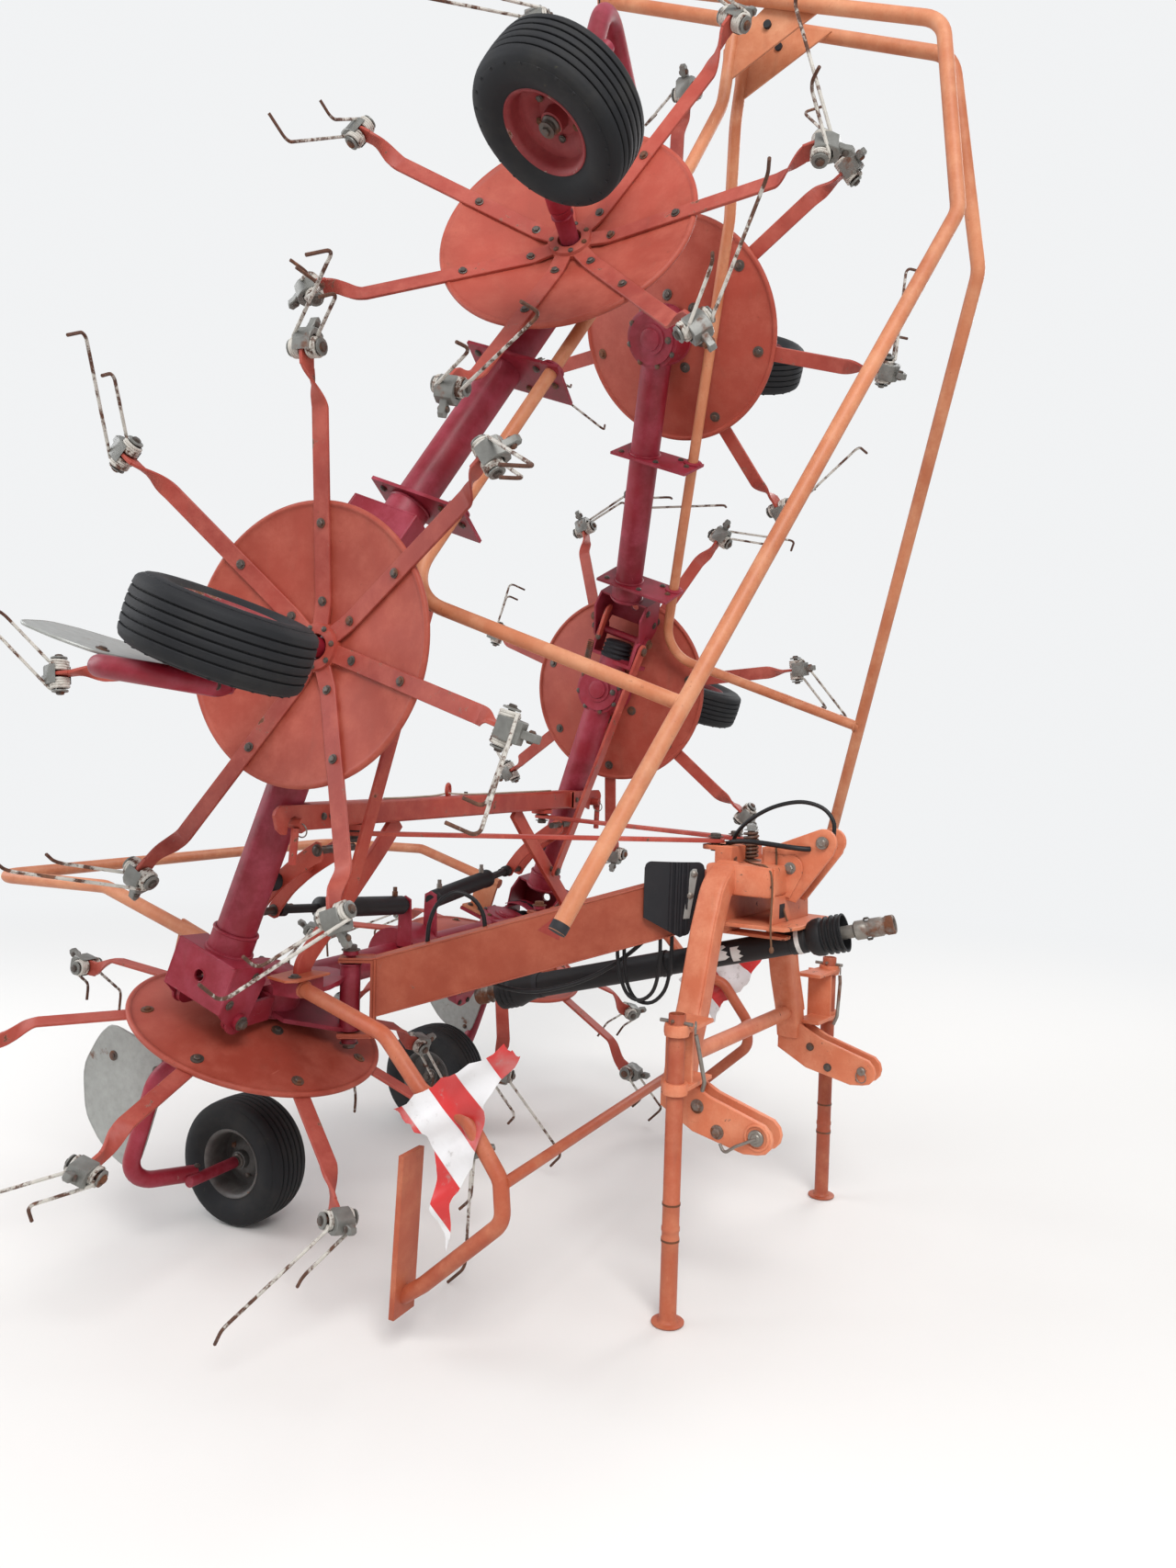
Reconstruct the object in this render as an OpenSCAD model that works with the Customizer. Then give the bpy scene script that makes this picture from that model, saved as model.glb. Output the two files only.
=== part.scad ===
// Folded six-rotor hay tedder on its parking stands, +X towards the tractor, +Y to the left, +Z up.
// Rotors, wings and wheels are drawn in a side frame: x forward, y outward, z along the rotor axis,
// as they lie when the machine is unfolded. Two folds then bring each wing up to its transport place.

/* [Stance] */
// Forward lean of the rotor planes in degrees
lean = 19.65; // [15:0.05:22]
// Distance of the centre rotors behind the lower hitch pins
base_x = 1571; // [1400:1:1700]
// Height of the centre rotors' rim plane above the ground at their axis
base_z = 695; // [690:1:720]
// Swing of the headstock on its linkage, as parked
swing = 7.43; // [0:0.01:10]
// Side step of the hitch caused by that swing
swing_y = 28; // [0:1:60]
// Fold of the inner wings
fold_1 = 94.2; // [80:0.1:95]
// Further fold of the outer wings
fold_2 = 22.8; // [0:0.1:24]
// Hitch line to the middle of the machine's outline, lengthwise
middle_x = 1108.119; // [0:0.001:2000]
// Hitch line to the middle of the machine's outline, sideways
middle_y = 0; // [-200:1:200]

/* [Rotors] */
// Height of the wing tubes' axes above the rotor rim planes
tube_z = 130; // [125:1:150]
// Outer radius of a rotor disc
disc_r = 387; // [370:1:400]
// Rise of the disc's cone from rim to hub
disc_rise = 65; // [60:1:85]
// Thickness of the disc's sheet
disc_t = 6; // [4:0.5:8]
// Tine arms on a rotor
arms = 7; // [5:1:8]
// Radius at which an arm holds its coil
arm_r = 735; // [700:1:750]
// Width of an arm's flat bar
arm_w = 50; // [40:1:60]
// Thickness of an arm's flat bar
arm_t = 10; // [8:0.5:12]
// Depth of the coils' axes below the rim plane
coil_z = 152; // [140:1:170]
// Wire of the tines
wire = 9.5; // [8:0.5:11]
// Outer radius of a tine coil
coil_r = 27; // [24:0.5:32]
// Turns in each coil
turns = 4; // [3:1:5]
// Bolt that holds a tine
tine_bolt = 16; // [12:1:20]
// Radius of the gear housing above a rotor
housing_r = 100; // [90:1:110]
// Radius of the wheel column through a rotor
column_r = 28; // [25:0.5:32]

/* [Wheels] */
// Diameter of a tyre
tyre_d = 410; // [390:1:420]
// Width of a tyre
tyre_w = 158; // [140:1:165]
// Rim diameter where the tyre sits
rim_d = 204; // [190:1:215]
// Depth of the wheel axles below the rim planes
axle_z = 520; // [515:0.5:526]
// Wheel axle
axle_d = 25; // [20:1:30]
// Tube of the wheel legs
leg_d = 51; // [44:1:56]

/* [Wings] */
// Distance of the centre rotors from the middle
rotor_c = 710; // [700:1:720]
// Distance of the inner wing rotors from the middle, unfolded
rotor_i = 2030; // [2020:1:2045]
// Distance of the outer wing rotors from the middle, unfolded
rotor_o = 3440; // [3430:1:3460]
// Distance of the first fold hinge from the middle
hinge_1 = 955; // [950:1:965]
// Distance of the second fold hinge from the middle, unfolded
hinge_2 = 2265; // [2255:1:2275]
// Fold pins
fold_pin = 30; // [25:1:34]
// Inner wing tube
wing_tube_1 = 114; // [105:1:120]
// Outer wing tube
wing_tube_2 = 108; // [100:1:114]
// Guard tubes
guard_d = 42; // [36:1:46]

/* [Linkage and headstock] */
// Vertical pivot axes behind: distance behind the hitch pins
pivot_x = 1300; // [1280:1:1320]
// Vertical pivot axes behind: distance from the middle
pivot_y = 606; // [590:1:620]
// Vertical pivots on the headstock: distance behind the hitch pins
front_x = 346; // [340:1:352]
// Vertical pivots on the headstock: distance from its middle
front_y = 72; // [68:1:80]
// Vertical pivot bolts
pivot_bolt = 30; // [24:1:34]
// Height of the boom beams
boom_h = 180; // [160:1:190]
// Width of the boom beams
boom_w = 60; // [50:1:70]
// Height of the lower hitch pins
hitch_z = 529; // [500:1:560]
// Half distance between the lower hitch pins' inner plates
hitch_y = 405; // [395:1:415]
// Lower hitch pins
hitch_pin = 28; // [28:0.1:28.4]
// Height of the top link pin
top_z = 1317; // [1300:1:1330]
// Top link pin
top_pin = 25; // [25:0.1:25.4]
// Parking stand tubes
stand_d = 48; // [42:1:52]
// Length of the parking stands
stand_h = 862; // [840:1:900]
// Foot plates of the stands
foot_d = 92; // [80:1:110]

/* [Hidden] */
$fn = 48;
pin_gap = 0.1;
joint_gap = 6;
tube_sides = 12;
arm_phase = 180 / arms;

// Rotors: name, wing (0 centre, 1 inner, 2 outer), side (1 left, -1 right), first arm's angle,
// way in which the tines trail, radial lean of the tines
ROTORS = [
    ["left_centre",  0,  1, 0,             1,  80],
    ["right_centre", 0, -1, arm_phase,     1,  80],
    ["left_inner",   1,  1, arm_phase,    -1, 115],
    ["right_inner",  1, -1, 2,            -1, 115],
    ["left_outer",   2,  1, 0,             1, -95],
    ["right_outer",  2, -1, 22.5,          1, -95],
];
// Wheel legs: name, wing, side, turn of the leg, wheel centre forward and outward of the rotor axis,
// side of the wheel on which the leg's tube passes
LEGS = [
    ["left_centre",  0,  1,   0,   0, -150,  1],
    ["right_centre", 0, -1,   0,   0, -150,  1],
    ["left_inner",   1,  1,   0, 150,    0, -1],
    ["right_inner",  1, -1,   0, 195,    0, -1],
    ["left_outer",   2,  1,   0,  80, -176,  1],
    ["right_outer",  2, -1,   0, 243, -176,  1],
];
SIDES = [["left", 1], ["right", -1]];

// Leaf shields of the legs: outline lengthwise and upward
LEAF_OUT = [[-90, -125], [-200, -105], [-340, -113], [-375, -168], [-404, -290], [-345, -420], [-262, -472],
            [-178, -492], [-90, -490]];
LEAF_LOW = [[5, -300], [-90, -310], [-150, -370], [-230, -490], [-245, -580], [-180, -712], [-80, -690], [5, -630]];

function rotor_y(wing) = wing == 0 ? rotor_c : wing == 1 ? rotor_i : rotor_o;
function names(start, table) = [for (row = table) str(start, row[0])];

// Vector helpers
function unit(v) = v / norm(v);
function turn_of(a, b) = acos(max(-1, min(1, a * b)));

// Frames
module world() translate([middle_x, -middle_y, 0]) children();
module mirrored_side(s) {
    if (s < 0) mirror([0, 1, 0]) children();
    else children();
}
module rotor_frame() world() translate([-base_x, 0, base_z]) rotate([0, lean, 0]) children();
module folded(y, angle) translate([0, y, tube_z]) rotate([angle, 0, 0]) translate([0, -y, -tube_z]) children();
module on_wing(wing, s) rotor_frame() mirrored_side(s) {
    if (wing == 0) children();
    if (wing == 1) folded(hinge_1, fold_1) children();
    if (wing == 2) folded(hinge_1, fold_1) folded(hinge_2, fold_2) children();
}
module headstock_frame() world() translate([0, swing_y, 0]) rotate([0, 0, -swing]) children();

// A round bar between two points
module rod(a, b, d) {
    v = b - a;
    translate(a) rotate([0, acos(v[2] / norm(v)), atan2(v[1], v[0])]) cylinder(d = d, h = norm(v));
}
// Points and directions along corner points whose bends have one radius: rows of [point, direction]
function bend_rows(p, i, bend) = let (u = unit(p[i] - p[i - 1]), v = unit(p[i + 1] - p[i]), a = turn_of(u, v),
        w = unit(v - (u * v) * u), c = p[i] - u * bend * tan(a / 2) + w * bend, n = max(2, ceil(a / 22)))
    [for (k = [0 : n]) let (t = a * k / n) [c + bend * (sin(t) * u - cos(t) * w), cos(t) * u + sin(t) * w]];
function route(p, bend) = let (n = len(p)) concat([[p[0], unit(p[1] - p[0])]],
    [for (i = [1 : 1 : n - 2]) each bend_rows(p, i, bend)], [[p[n - 1], unit(p[n - 1] - p[n - 2])]]);
function carried(rows, v, i = 0) = i == len(rows) ? [] :
    let (t = rows[i][1], m = unit(v - (v * t) * t)) concat([m], carried(rows, m, i + 1));
// A round tube along corner points, with smooth bends
module bent_tube(p, d, bend, across = [0.31, 0.12, 0.94]) {
    rows = route(p, bend);
    normals = carried(rows, across);
    n = tube_sides;
    last = (len(rows) - 1) * n;
    rings = [for (i = [0 : len(rows) - 1]) let (t = rows[i][1], m = normals[i], q = cross(t, m))
        for (j = [0 : n - 1]) rows[i][0] + d / 2 * (cos(j * 360 / n) * m + sin(j * 360 / n) * q)];
    walls = [for (i = [0 : len(rows) - 2]) for (j = [0 : n - 1])
        let (a = i * n + j, b = i * n + (j + 1) % n) each [[a, a + n, b + n], [a, b + n, b]]];
    polyhedron(rings, concat(walls, [[for (j = [0 : n - 1]) j]], [[for (j = [n - 1 : -1 : 0]) last + j]]));
}
// A bent wire: straight runs with a small ball in each knee
module wire_run(p, d) {
    for (i = [0 : len(p) - 2]) rod(p[i], p[i + 1], d);
    for (i = [1 : 1 : len(p) - 2]) translate(p[i]) sphere(d = d + 0.8);
}
// Outline of a flat strip that follows corner points
function strip_side(p, w, side) = [for (i = [0 : len(p) - 1])
    let (a = i == 0 ? unit(p[1] - p[0]) : unit(p[i] - p[i - 1]),
         b = i == len(p) - 1 ? a : unit(p[i + 1] - p[i]),
         m = unit(a + b), k = w / 2 / (m * a))
    p[i] + side * k * [-m[1], m[0]]];
function strip(p, w) = let (n = len(p), r = strip_side(p, w, -1))
    concat(strip_side(p, w, 1), [for (i = [n - 1 : -1 : 0]) r[i]]);
// Points along an arc in a plane
function arc(c, r, a0, a1, n = 6) = [for (i = [0 : n]) c + r * [cos(a0 + (a1 - a0) * i / n), sin(a0 + (a1 - a0) * i / n)]];
// A flat eye: a bar with a round end, its hole at the origin, lying along +x
module eye(length, w, hole) {
    difference() {
        union() {
            circle(d = w);
            translate([0, -w / 2]) square([length, w]);
        }
        circle(d = hole);
    }
}

// Rotor disc, hub and arms, about the rotor axis
disc_in = 100;
rim_in = disc_r - 22;
arm_drop = 20;
arm_flat = arm_r - 125;
arm_root = 62;
function arm_z(r) = disc_rise - disc_t - arm_t / 2 - (r - disc_in) * tan(slope);
slope = atan(disc_rise / (rim_in - disc_in));
module disc() {
    bead = 9;
    rotate_extrude() {
        polygon([[column_r + 8, disc_rise - disc_t - 14], [column_r + 8, disc_rise + 1], [72, disc_rise + 1],
                 [76, disc_rise], [disc_in, disc_rise], [rim_in, 0], [rim_in + 4, -4], [rim_in + 10, -2],
                 [rim_in + 10, -2 - disc_t], [rim_in, -disc_t], [disc_in - 2, disc_rise - disc_t],
                 [70, disc_rise - disc_t], [70, disc_rise - disc_t - 14]]);
        translate([disc_r - bead, -4]) circle(r = bead);
    }
}
function turned(a, x, v) = [x[0], x[1] + v[0] * cos(a) - v[1] * sin(a), x[2] + v[0] * sin(a) + v[1] * cos(a)];
// One arm along +x: flat bar below the disc, a quarter twist, then an upright eye
module arm() {
    kink = [disc_in + 22, arm_z(disc_in + 22)];
    flat_end = [arm_flat, arm_z(arm_flat)];
    twist_end = [arm_r - 45, -coil_z + 10];
    flats = [[arm_root, kink[1] + 1], kink, flat_end];
    translate([0, arm_w / 2, 0]) rotate([90, 0, 0]) linear_extrude(arm_w) polygon(strip(flats, arm_t));
    translate([arm_root, 0, kink[1] + 1 - arm_t / 2]) cylinder(d = arm_w, h = arm_t);
    steps = 4;
    rings = [for (i = [0 : steps])
        let (k = i / steps, at = [flat_end[0] * (1 - k) + twist_end[0] * k, 0, flat_end[1] * (1 - k) + twist_end[1] * k])
        for (v = [[-arm_w, -arm_t], [arm_w, -arm_t], [arm_w, arm_t], [-arm_w, arm_t]]) turned(90 * k, at, v / 2)];
    sides = [for (i = [0 : steps - 1]) for (j = [0 : 3])
        let (a = 4 * i + j, b = 4 * i + (j + 1) % 4) each [[a, a + 4, b], [b, a + 4, b + 4]]];
    polyhedron(rings, concat(sides, [[0, 1, 2], [0, 2, 3]],
        [[4 * steps, 4 * steps + 2, 4 * steps + 1], [4 * steps, 4 * steps + 3, 4 * steps + 2]]));
    difference() {
        translate([0, arm_t / 2, 0]) rotate([90, 0, 0]) linear_extrude(arm_t) difference() {
            union() {
                translate([arm_r, -coil_z]) circle(d = arm_w);
                translate([twist_end[0], twist_end[1] - arm_w / 2]) square([arm_r - twist_end[0], arm_w - 10]);
            }
            translate([arm_r, -coil_z]) circle(d = tine_bolt);
        }
    }
}
module rotor(r) {
    color("tomato") on_wing(r[1], r[2]) translate([0, rotor_y(r[1]), 0]) difference() {
        union() {
            disc();
            for (i = [0 : arms - 1]) rotate([0, 0, r[3] + i * 360 / arms]) arm();
        }
        translate([0, 0, -50]) cylinder(r = column_r + 8, h = 200);
    }
}

// A coil of wire as one turned sleeve with a bump for each turn, along +y from 0
module coil() {
    pitch = wire;
    inner = coil_r - wire;
    ridge = [for (i = [0 : turns - 1]) each
        [[coil_r - 2.5, i * pitch + 0.4], [coil_r, i * pitch + pitch * 0.35], [coil_r, i * pitch + pitch * 0.65],
         [coil_r - 2.5, (i + 1) * pitch - 0.4]]];
    rotate([-90, 0, 0]) rotate_extrude()
        polygon(concat([[inner, 0], [coil_r - 4, 0]], ridge, [[coil_r - 4, turns * pitch], [inner, turns * pitch]]));
}
// Tine pair on one arm: two coils on a bolt, a cast clamp and two legs with hooked tips
module tine(way, radial) {
    coil_w = turns * wire;
    long_knee = [radial, way * 255, -205];
    short_knee = [radial * 0.5, way * 130, -115];
    hook = [-radial * 0.35, -way * 12, -62];
    translate([arm_r, 0, -coil_z]) {
        rod([0, -coil_w - arm_t / 2 - 8, 0], [0, coil_w + arm_t / 2 + 8, 0], tine_bolt - pin_gap);
        for (s = [1, -1]) {
            translate([0, s * arm_t / 2 + (s > 0 ? 0 : -coil_w), 0]) coil();
            translate([0, s * (coil_w + arm_t / 2) + (s > 0 ? 0 : -5), 0]) rotate([-90, 0, 0])
                cylinder(r = coil_r - 4, h = 5);
            start = [coil_r - wire / 2, s * (coil_w + arm_t / 2 - wire / 2), 0];
            knee = s > 0 ? long_knee : short_knee;
            wire_run([start, start + knee, start + knee + hook * (s > 0 ? 1.15 : 0.8)], wire);
        }
        // Cast clamp across both coils beyond the arm's end
        translate([coil_r - 1, -26, -22]) cube([17, 52, 46]);
        rod([coil_r - 1, 0, 14], [coil_r + 34, 0, 22], 20);
    }
}
module tines(r) {
    color("gainsboro") on_wing(r[1], r[2]) translate([0, rotor_y(r[1]), 0])
        for (i = [0 : arms - 1]) rotate([0, 0, r[3] + i * 360 / arms]) tine(r[4], r[5]);
}

// Wheel leg: column through the rotor, bent tube out to the wheel's side, axle and leaf shield
column_top = 150;
leg_out = 258;
leg_low = 158;
shield_t = 6;
module leg(g) {
    x = g[4];
    y = g[5];
    f = g[6];
    color("crimson") on_wing(g[1], g[2]) translate([0, rotor_y(g[1]), 0]) rotate([0, 0, g[3]]) {
        cylinder_from_to(-70, column_top, column_r);
        for (z = [-40, -62]) cylinder_from_to(z - 7, z, column_r + 5);
        cylinder_from_to(-128, -69, column_r + 6);
        if (f > 0) {
            // The tube runs out, down and back along the axle
            out = y + 150 + leg_out;
            bent_tube([[0, 0, -98], [x - 100, out, -112], [x - 100, out, -axle_z], [x - 25, y + 195, -axle_z]],
                      leg_d, 92);
            rod([x, y + 245, -axle_z], [x, y - 52, -axle_z], axle_d - 2 * pin_gap);
            rod([x, y + 245, -axle_z], [x, y + 46, -axle_z], 36);
            if (g[1] == 0) translate([x, out - leg_d / 2 - shield_t + 1, 0]) rotate([90, 0, 0])
                mirror([0, 0, 1]) linear_extrude(shield_t) polygon(LEAF_OUT);
        } else {
            // The tube runs down beside the wheel and turns up to the axle
            bent_tube([[0, 0, -98], [0, -leg_low, -250], [0, -leg_low, -668], [x, -113, -640], [x, -113, -axle_z + 15]],
                      leg_d, 62);
            rod([x, -113, -axle_z], [x, 52, -axle_z], axle_d - 2 * pin_gap);
            rod([x, -113, -axle_z], [x, -46, -axle_z], 36);
            translate([0, -leg_low + leg_d / 2 - 1, 0]) rotate([90, 0, 0])
                mirror([0, 0, 1]) linear_extrude(shield_t) polygon(LEAF_LOW);
        }
    }
}
module cylinder_from_to(z0, z1, r) translate([0, 0, z0]) cylinder(r = r, h = z1 - z0);
module wheel_place(g) on_wing(g[1], g[2]) translate([0, rotor_y(g[1]), 0]) rotate([0, 0, g[3]])
    translate([g[4], g[5], -axle_z]) rotate([90, 0, 0]) children();

// Tyre with running ribs, turned about its own axis
ribs = 6;
flange_y = 62;
module tyre(g) {
    r = tyre_d / 2;
    h = tyre_w / 2;
    tread = h - 16;
    rib = 2 * tread / ribs;
    tread_line = [for (i = [0 : ribs - 1]) each
        [[r, -tread + i * rib + 1.5], [r, -tread + (i + 1) * rib - 3.5], [r - 5, -tread + (i + 1) * rib - 3],
         [r - 5, -tread + (i + 1) * rib + 1]]];
    side = [[rim_d / 2 + 16, h - 14], [rim_d / 2 + 38, h - 2], [r - 42, h], [r - 22, h - 4], [r - 6, h - 13]];
    color("dimgray") wheel_place(g) rotate_extrude()
        polygon(concat([[rim_d / 2, -flange_y], [rim_d / 2 + 12, -flange_y]], [for (p = side) [p[0], -p[1]]],
                       [for (i = [0 : len(tread_line) - 2]) tread_line[i]],
                       [for (i = [len(side) - 1 : -1 : 0]) side[i]], [[rim_d / 2 + 12, flange_y], [rim_d / 2, flange_y]]));
}
// Rim with flanges, a dished disc and a hub on the axle
module rim(g) {
    r = rim_d / 2;
    hub = 30;
    color(g[1] == 0 ? "dimgray" : "firebrick") wheel_place(g) rotate_extrude() {
        polygon([[axle_d / 2, -32], [hub, -32], [hub, -8], [48, -4], [66, 14], [r - 5, 18], [r - 5, -flange_y + 4],
                 [r + 4, -flange_y - 4], [r + 11, -flange_y - 3], [r + 11, -flange_y], [r, -flange_y],
                 [r, flange_y], [r + 11, flange_y], [r + 11, flange_y + 3], [r + 4, flange_y + 4],
                 [r - 5, flange_y - 4], [r - 5, 24], [64, 20], [46, 3], [hub, 2], [hub, 32], [axle_d / 2, 32]]);
    }
}

// Gear housing above a rotor, with the bore for the wheel column
housing_z0 = disc_rise + 17;
housing_z1 = tube_z + 62;
module housing() {
    cylinder_from_to(housing_z0, housing_z1 - 12, housing_r);
    cylinder_from_to(housing_z1 - 12, housing_z1, housing_r - 14);
    cylinder_from_to(housing_z1, housing_z1 + 5, 52);
}
module column_bore() cylinder_from_to(0, column_top + 1, column_r + pin_gap);

// Hood at the inner end of a wing tube: open towards the hinge, bevelled, with a round hole
hood_half = 110;
hood_len = 170;
hood_t = 8;
hood_drop = 88;
lug_out = 84;
module hood(y, tube_d) {
    // Side plates with the eyes for the fold pin
    for (s = [1, -1]) translate([s > 0 ? hood_half - hood_t : -hood_half, y, tube_z]) rotate([90, 0, 90])
        linear_extrude(hood_t) difference() {
            union() {
                circle(r = 42);
                polygon([[-10, -40], [28, -hood_drop], [hood_len, -hood_drop], [hood_len, 20], [120, 62], [0, 42]]);
            }
            circle(d = fold_pin);
        }
    // Face that looks outward when folded, with its hole
    difference() {
        translate([-hood_half, y + 28, tube_z - hood_drop]) cube([2 * hood_half, hood_len - 28, hood_t]);
        translate([0, y + 100, tube_z - hood_drop - 1]) cylinder(d = 36, h = hood_t + 2);
    }
    // End wall that carries the tube
    translate([-hood_half, y + hood_len - hood_t, tube_z - hood_drop]) cube([2 * hood_half, hood_t, hood_drop + 20]);
    translate([-hood_half, y + hood_len - hood_t, tube_z + 10]) cube([2 * hood_half, hood_t, 10]);
    rod([0, y + hood_len - hood_t, tube_z], [0, y + hood_len + 60, tube_z], tube_d + 14);
}
// Lugs of the inboard part at a fold hinge, inside the hood's side plates
module lugs(y, start) {
    for (s = [1, -1]) translate([s > 0 ? lug_out : -lug_out - 12, y, tube_z]) rotate([90, 0, 90])
        linear_extrude(12) difference() {
            union() {
                circle(r = 38);
                translate([start - y, -38]) square([y - start, 76]);
            }
            circle(d = fold_pin);
        }
}
module hinge_pin(y) {
    rod([-hood_half - 14, y, tube_z], [hood_half + 14, y, tube_z], fold_pin - 2 * pin_gap);
    for (s = [1, -1]) rod([s * hood_half, y, tube_z], [s * (hood_half + 14), y, tube_z], fold_pin + 16);
}

// Centre frame: cross tube, gear housings, hinge lugs and the brackets of the vertical pivots
cross_d = 100;
column_z0 = 700;
column_z1 = 905;
post_x = 1300;
// Where the lower plate, which leans with the rotors, meets the column
plate_front = (base_x - pivot_x) * cos(lean) - (column_z0 + 8 - base_z) * sin(lean);
seat_x = -1255;
strut_x = 150;
strut_w = 52;
strut_pin = 20;
strut_low = [strut_x, 680, 463];
strut_high = [strut_x, 751, 1408];
// The strut's upper pin on the inner wing, as it lies unfolded
strut_top = [hinge_1 + (strut_high[1] - hinge_1) * cos(fold_1) + (strut_high[2] - tube_z) * sin(fold_1),
             tube_z - (strut_high[1] - hinge_1) * sin(fold_1) + (strut_high[2] - tube_z) * cos(fold_1)];
module centre_frame() color("crimson") {
    rotor_frame() for (s = [1, -1]) mirrored_side(s) {
        difference() {
            union() {
                translate([0, rotor_c, 0]) housing();
                rod([0, 0, tube_z], [0, hinge_1 - 62, tube_z], cross_d);
                lugs(hinge_1, rotor_c + 90);
                translate([-96, rotor_c + 90, tube_z - 38]) cube([192, 14, 76]);
                // Central gearbox and the neck of its input shaft
                rod([0, 0, tube_z], [0, 75, tube_z], 210);
                rod([0, 0, tube_z], [250, 0, tube_z], 96);
                rod([250, 0, tube_z], [290, 0, tube_z], 128);
                // Lower plate to the vertical pivot column
                translate([0, 0, tube_z - 38]) linear_extrude(14)
                    polygon([[plate_front, pivot_y - 31], [plate_front, pivot_y + 31], [130, rotor_c + 60],
                             [50, rotor_c + 60], [50, rotor_c - 100], [130, pivot_y - 60]]);
                // Shelf that carries the rear guard
                translate([-258, rotor_c + 70, tube_z - 38]) cube([128, 86, 14]);
                translate([-140, rotor_c + 70, tube_z - 38]) cube([160, 76, 14]);
            }
            translate([0, rotor_c, 0]) column_bore();
        }
    }
    world() for (s = [1, -1]) mirrored_side(s) {
        // Vertical pivot column with its bolt and two plates back to the gear housing
        translate([-pivot_x, pivot_y, 0]) {
            cylinder_from_to(column_z0, column_z1, 31);
            cylinder_from_to(column_z0 - 38, column_z1 + 38, pivot_bolt / 2);
            cylinder_from_to(column_z0 - 40, column_z0 - 26, pivot_bolt / 2 + 9);
            cylinder_from_to(column_z1 + 26, column_z1 + 40, pivot_bolt / 2 + 9);
        }
        // Upper plate with the foot of the post and the front guard's seat
        translate([0, 0, column_z1 - 50]) linear_extrude(14)
            polygon([[-pivot_x, pivot_y - 31], [-pivot_x, pivot_y + 31], [-1275, 690], [seat_x, 760], [seat_x, 900],
                     [seat_x - 90, 900], [-1440, rotor_c + 60], [-1540, rotor_c + 60], [-1540, rotor_c - 100],
                     [-1440, pivot_y - 60]]);
        translate([seat_x - 90, 790, column_z1 - 40]) cube([90, 110, 40]);
    }
}

// Upper frame: beam, bent posts and the lugs of the sway bars
beam_z = 1330;
beam_h = 72;
beam_half = hinge_1 - 110;
bar_z = 1302;
module upper_frame() color("tomato") world() {
    translate([-post_x - 36, -beam_half, beam_z]) cube([72, 2 * beam_half, beam_h]);
    for (s = [1, -1]) mirrored_side(s) {
        // Hooked plate on the beam's front that reaches past the wing tube
        translate([-post_x + 35, 0, 0]) rotate([90, 0, 90]) linear_extrude(24)
            polygon([[beam_half - 75, beam_z], [beam_half - 75, beam_z + beam_h], [beam_half, beam_z + beam_h],
                     [beam_half, beam_z]]);
        translate([-post_x + 49, 0, 0]) rotate([90, 0, 90]) linear_extrude(12) difference() {
            polygon([[beam_half - 75, beam_z], [beam_half - 75, beam_z + beam_h], [beam_half + 160, beam_z + beam_h],
                     [beam_half + 183, beam_z + 46], [beam_half + 171, beam_z + 8], [beam_half + 140, beam_z - 8],
                     [beam_half + 70, beam_z - 8], [beam_half + 50, beam_z]]);
            translate([beam_half + 103, beam_z + 23]) circle(d = 30);
        }
        rod([-post_x + 49, beam_half + 103, beam_z + 23], [-post_x + 90, beam_half + 103, beam_z + 23], 29.8);
        // Bent flat post down to the centre frame
        translate([-post_x - 9, 0, 0]) rotate([90, 0, 90]) linear_extrude(18)
            polygon(strip([[383, beam_z], [475, 1245], [800, 965], [830, 930], [830, column_z1]], 62));
        // Lug and bolt of the sway bar
        translate([-post_x, pivot_y, 0]) {
            cylinder_from_to(bar_z + 12, beam_z, 42);
            cylinder_from_to(bar_z - 14, beam_z, pivot_bolt / 2);
            cylinder_from_to(bar_z - 26, bar_z - 12, pivot_bolt / 2 + 9);
        }
    }
    rod([-post_x, 30, beam_z + beam_h], [-post_x, 30, beam_z + beam_h + 12], 14);
}
module strut_pins() color("tomato") rotor_frame() for (s = [1, -1]) mirrored_side(s) {
    rod(strut_low - [46, 0, 0], strut_low + [22, 0, 0], strut_pin - 2 * pin_gap);
    rod(strut_low + [14, 0, 0], strut_low + [24, 0, 0], strut_pin + 14);
}

// Inner wing: hood, tube, gear housing and the lugs of the second hinge
module inner_wing(s) color("crimson") on_wing(1, s) {
    difference() {
        union() {
            hood(hinge_1, wing_tube_1);
            rod([0, hinge_1 + hood_len - 2, tube_z], [0, hinge_2 - 90, tube_z], wing_tube_1);
            translate([0, rotor_i, 0]) housing();
            lugs(hinge_2, hinge_2 - 100);
            translate([-96, hinge_2 - 104, tube_z - 38]) cube([192, 14, 76]);
            // Ear for the lock strut's upper end
            translate([60, hinge_2 - 104, tube_z]) cube([strut_x - 6 - 60, 14, 136]);
            translate([strut_x - 18, hinge_2 - 104, strut_top[1] - 26]) cube([12, strut_top[0] - hinge_2 + 104, 52]);
            rod([strut_x - 18, strut_top[0], strut_top[1]], [strut_x - 6, strut_top[0], strut_top[1]], 52);
        }
        translate([0, rotor_i, 0]) column_bore();
    }
    hinge_pin(hinge_1);
}
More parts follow.
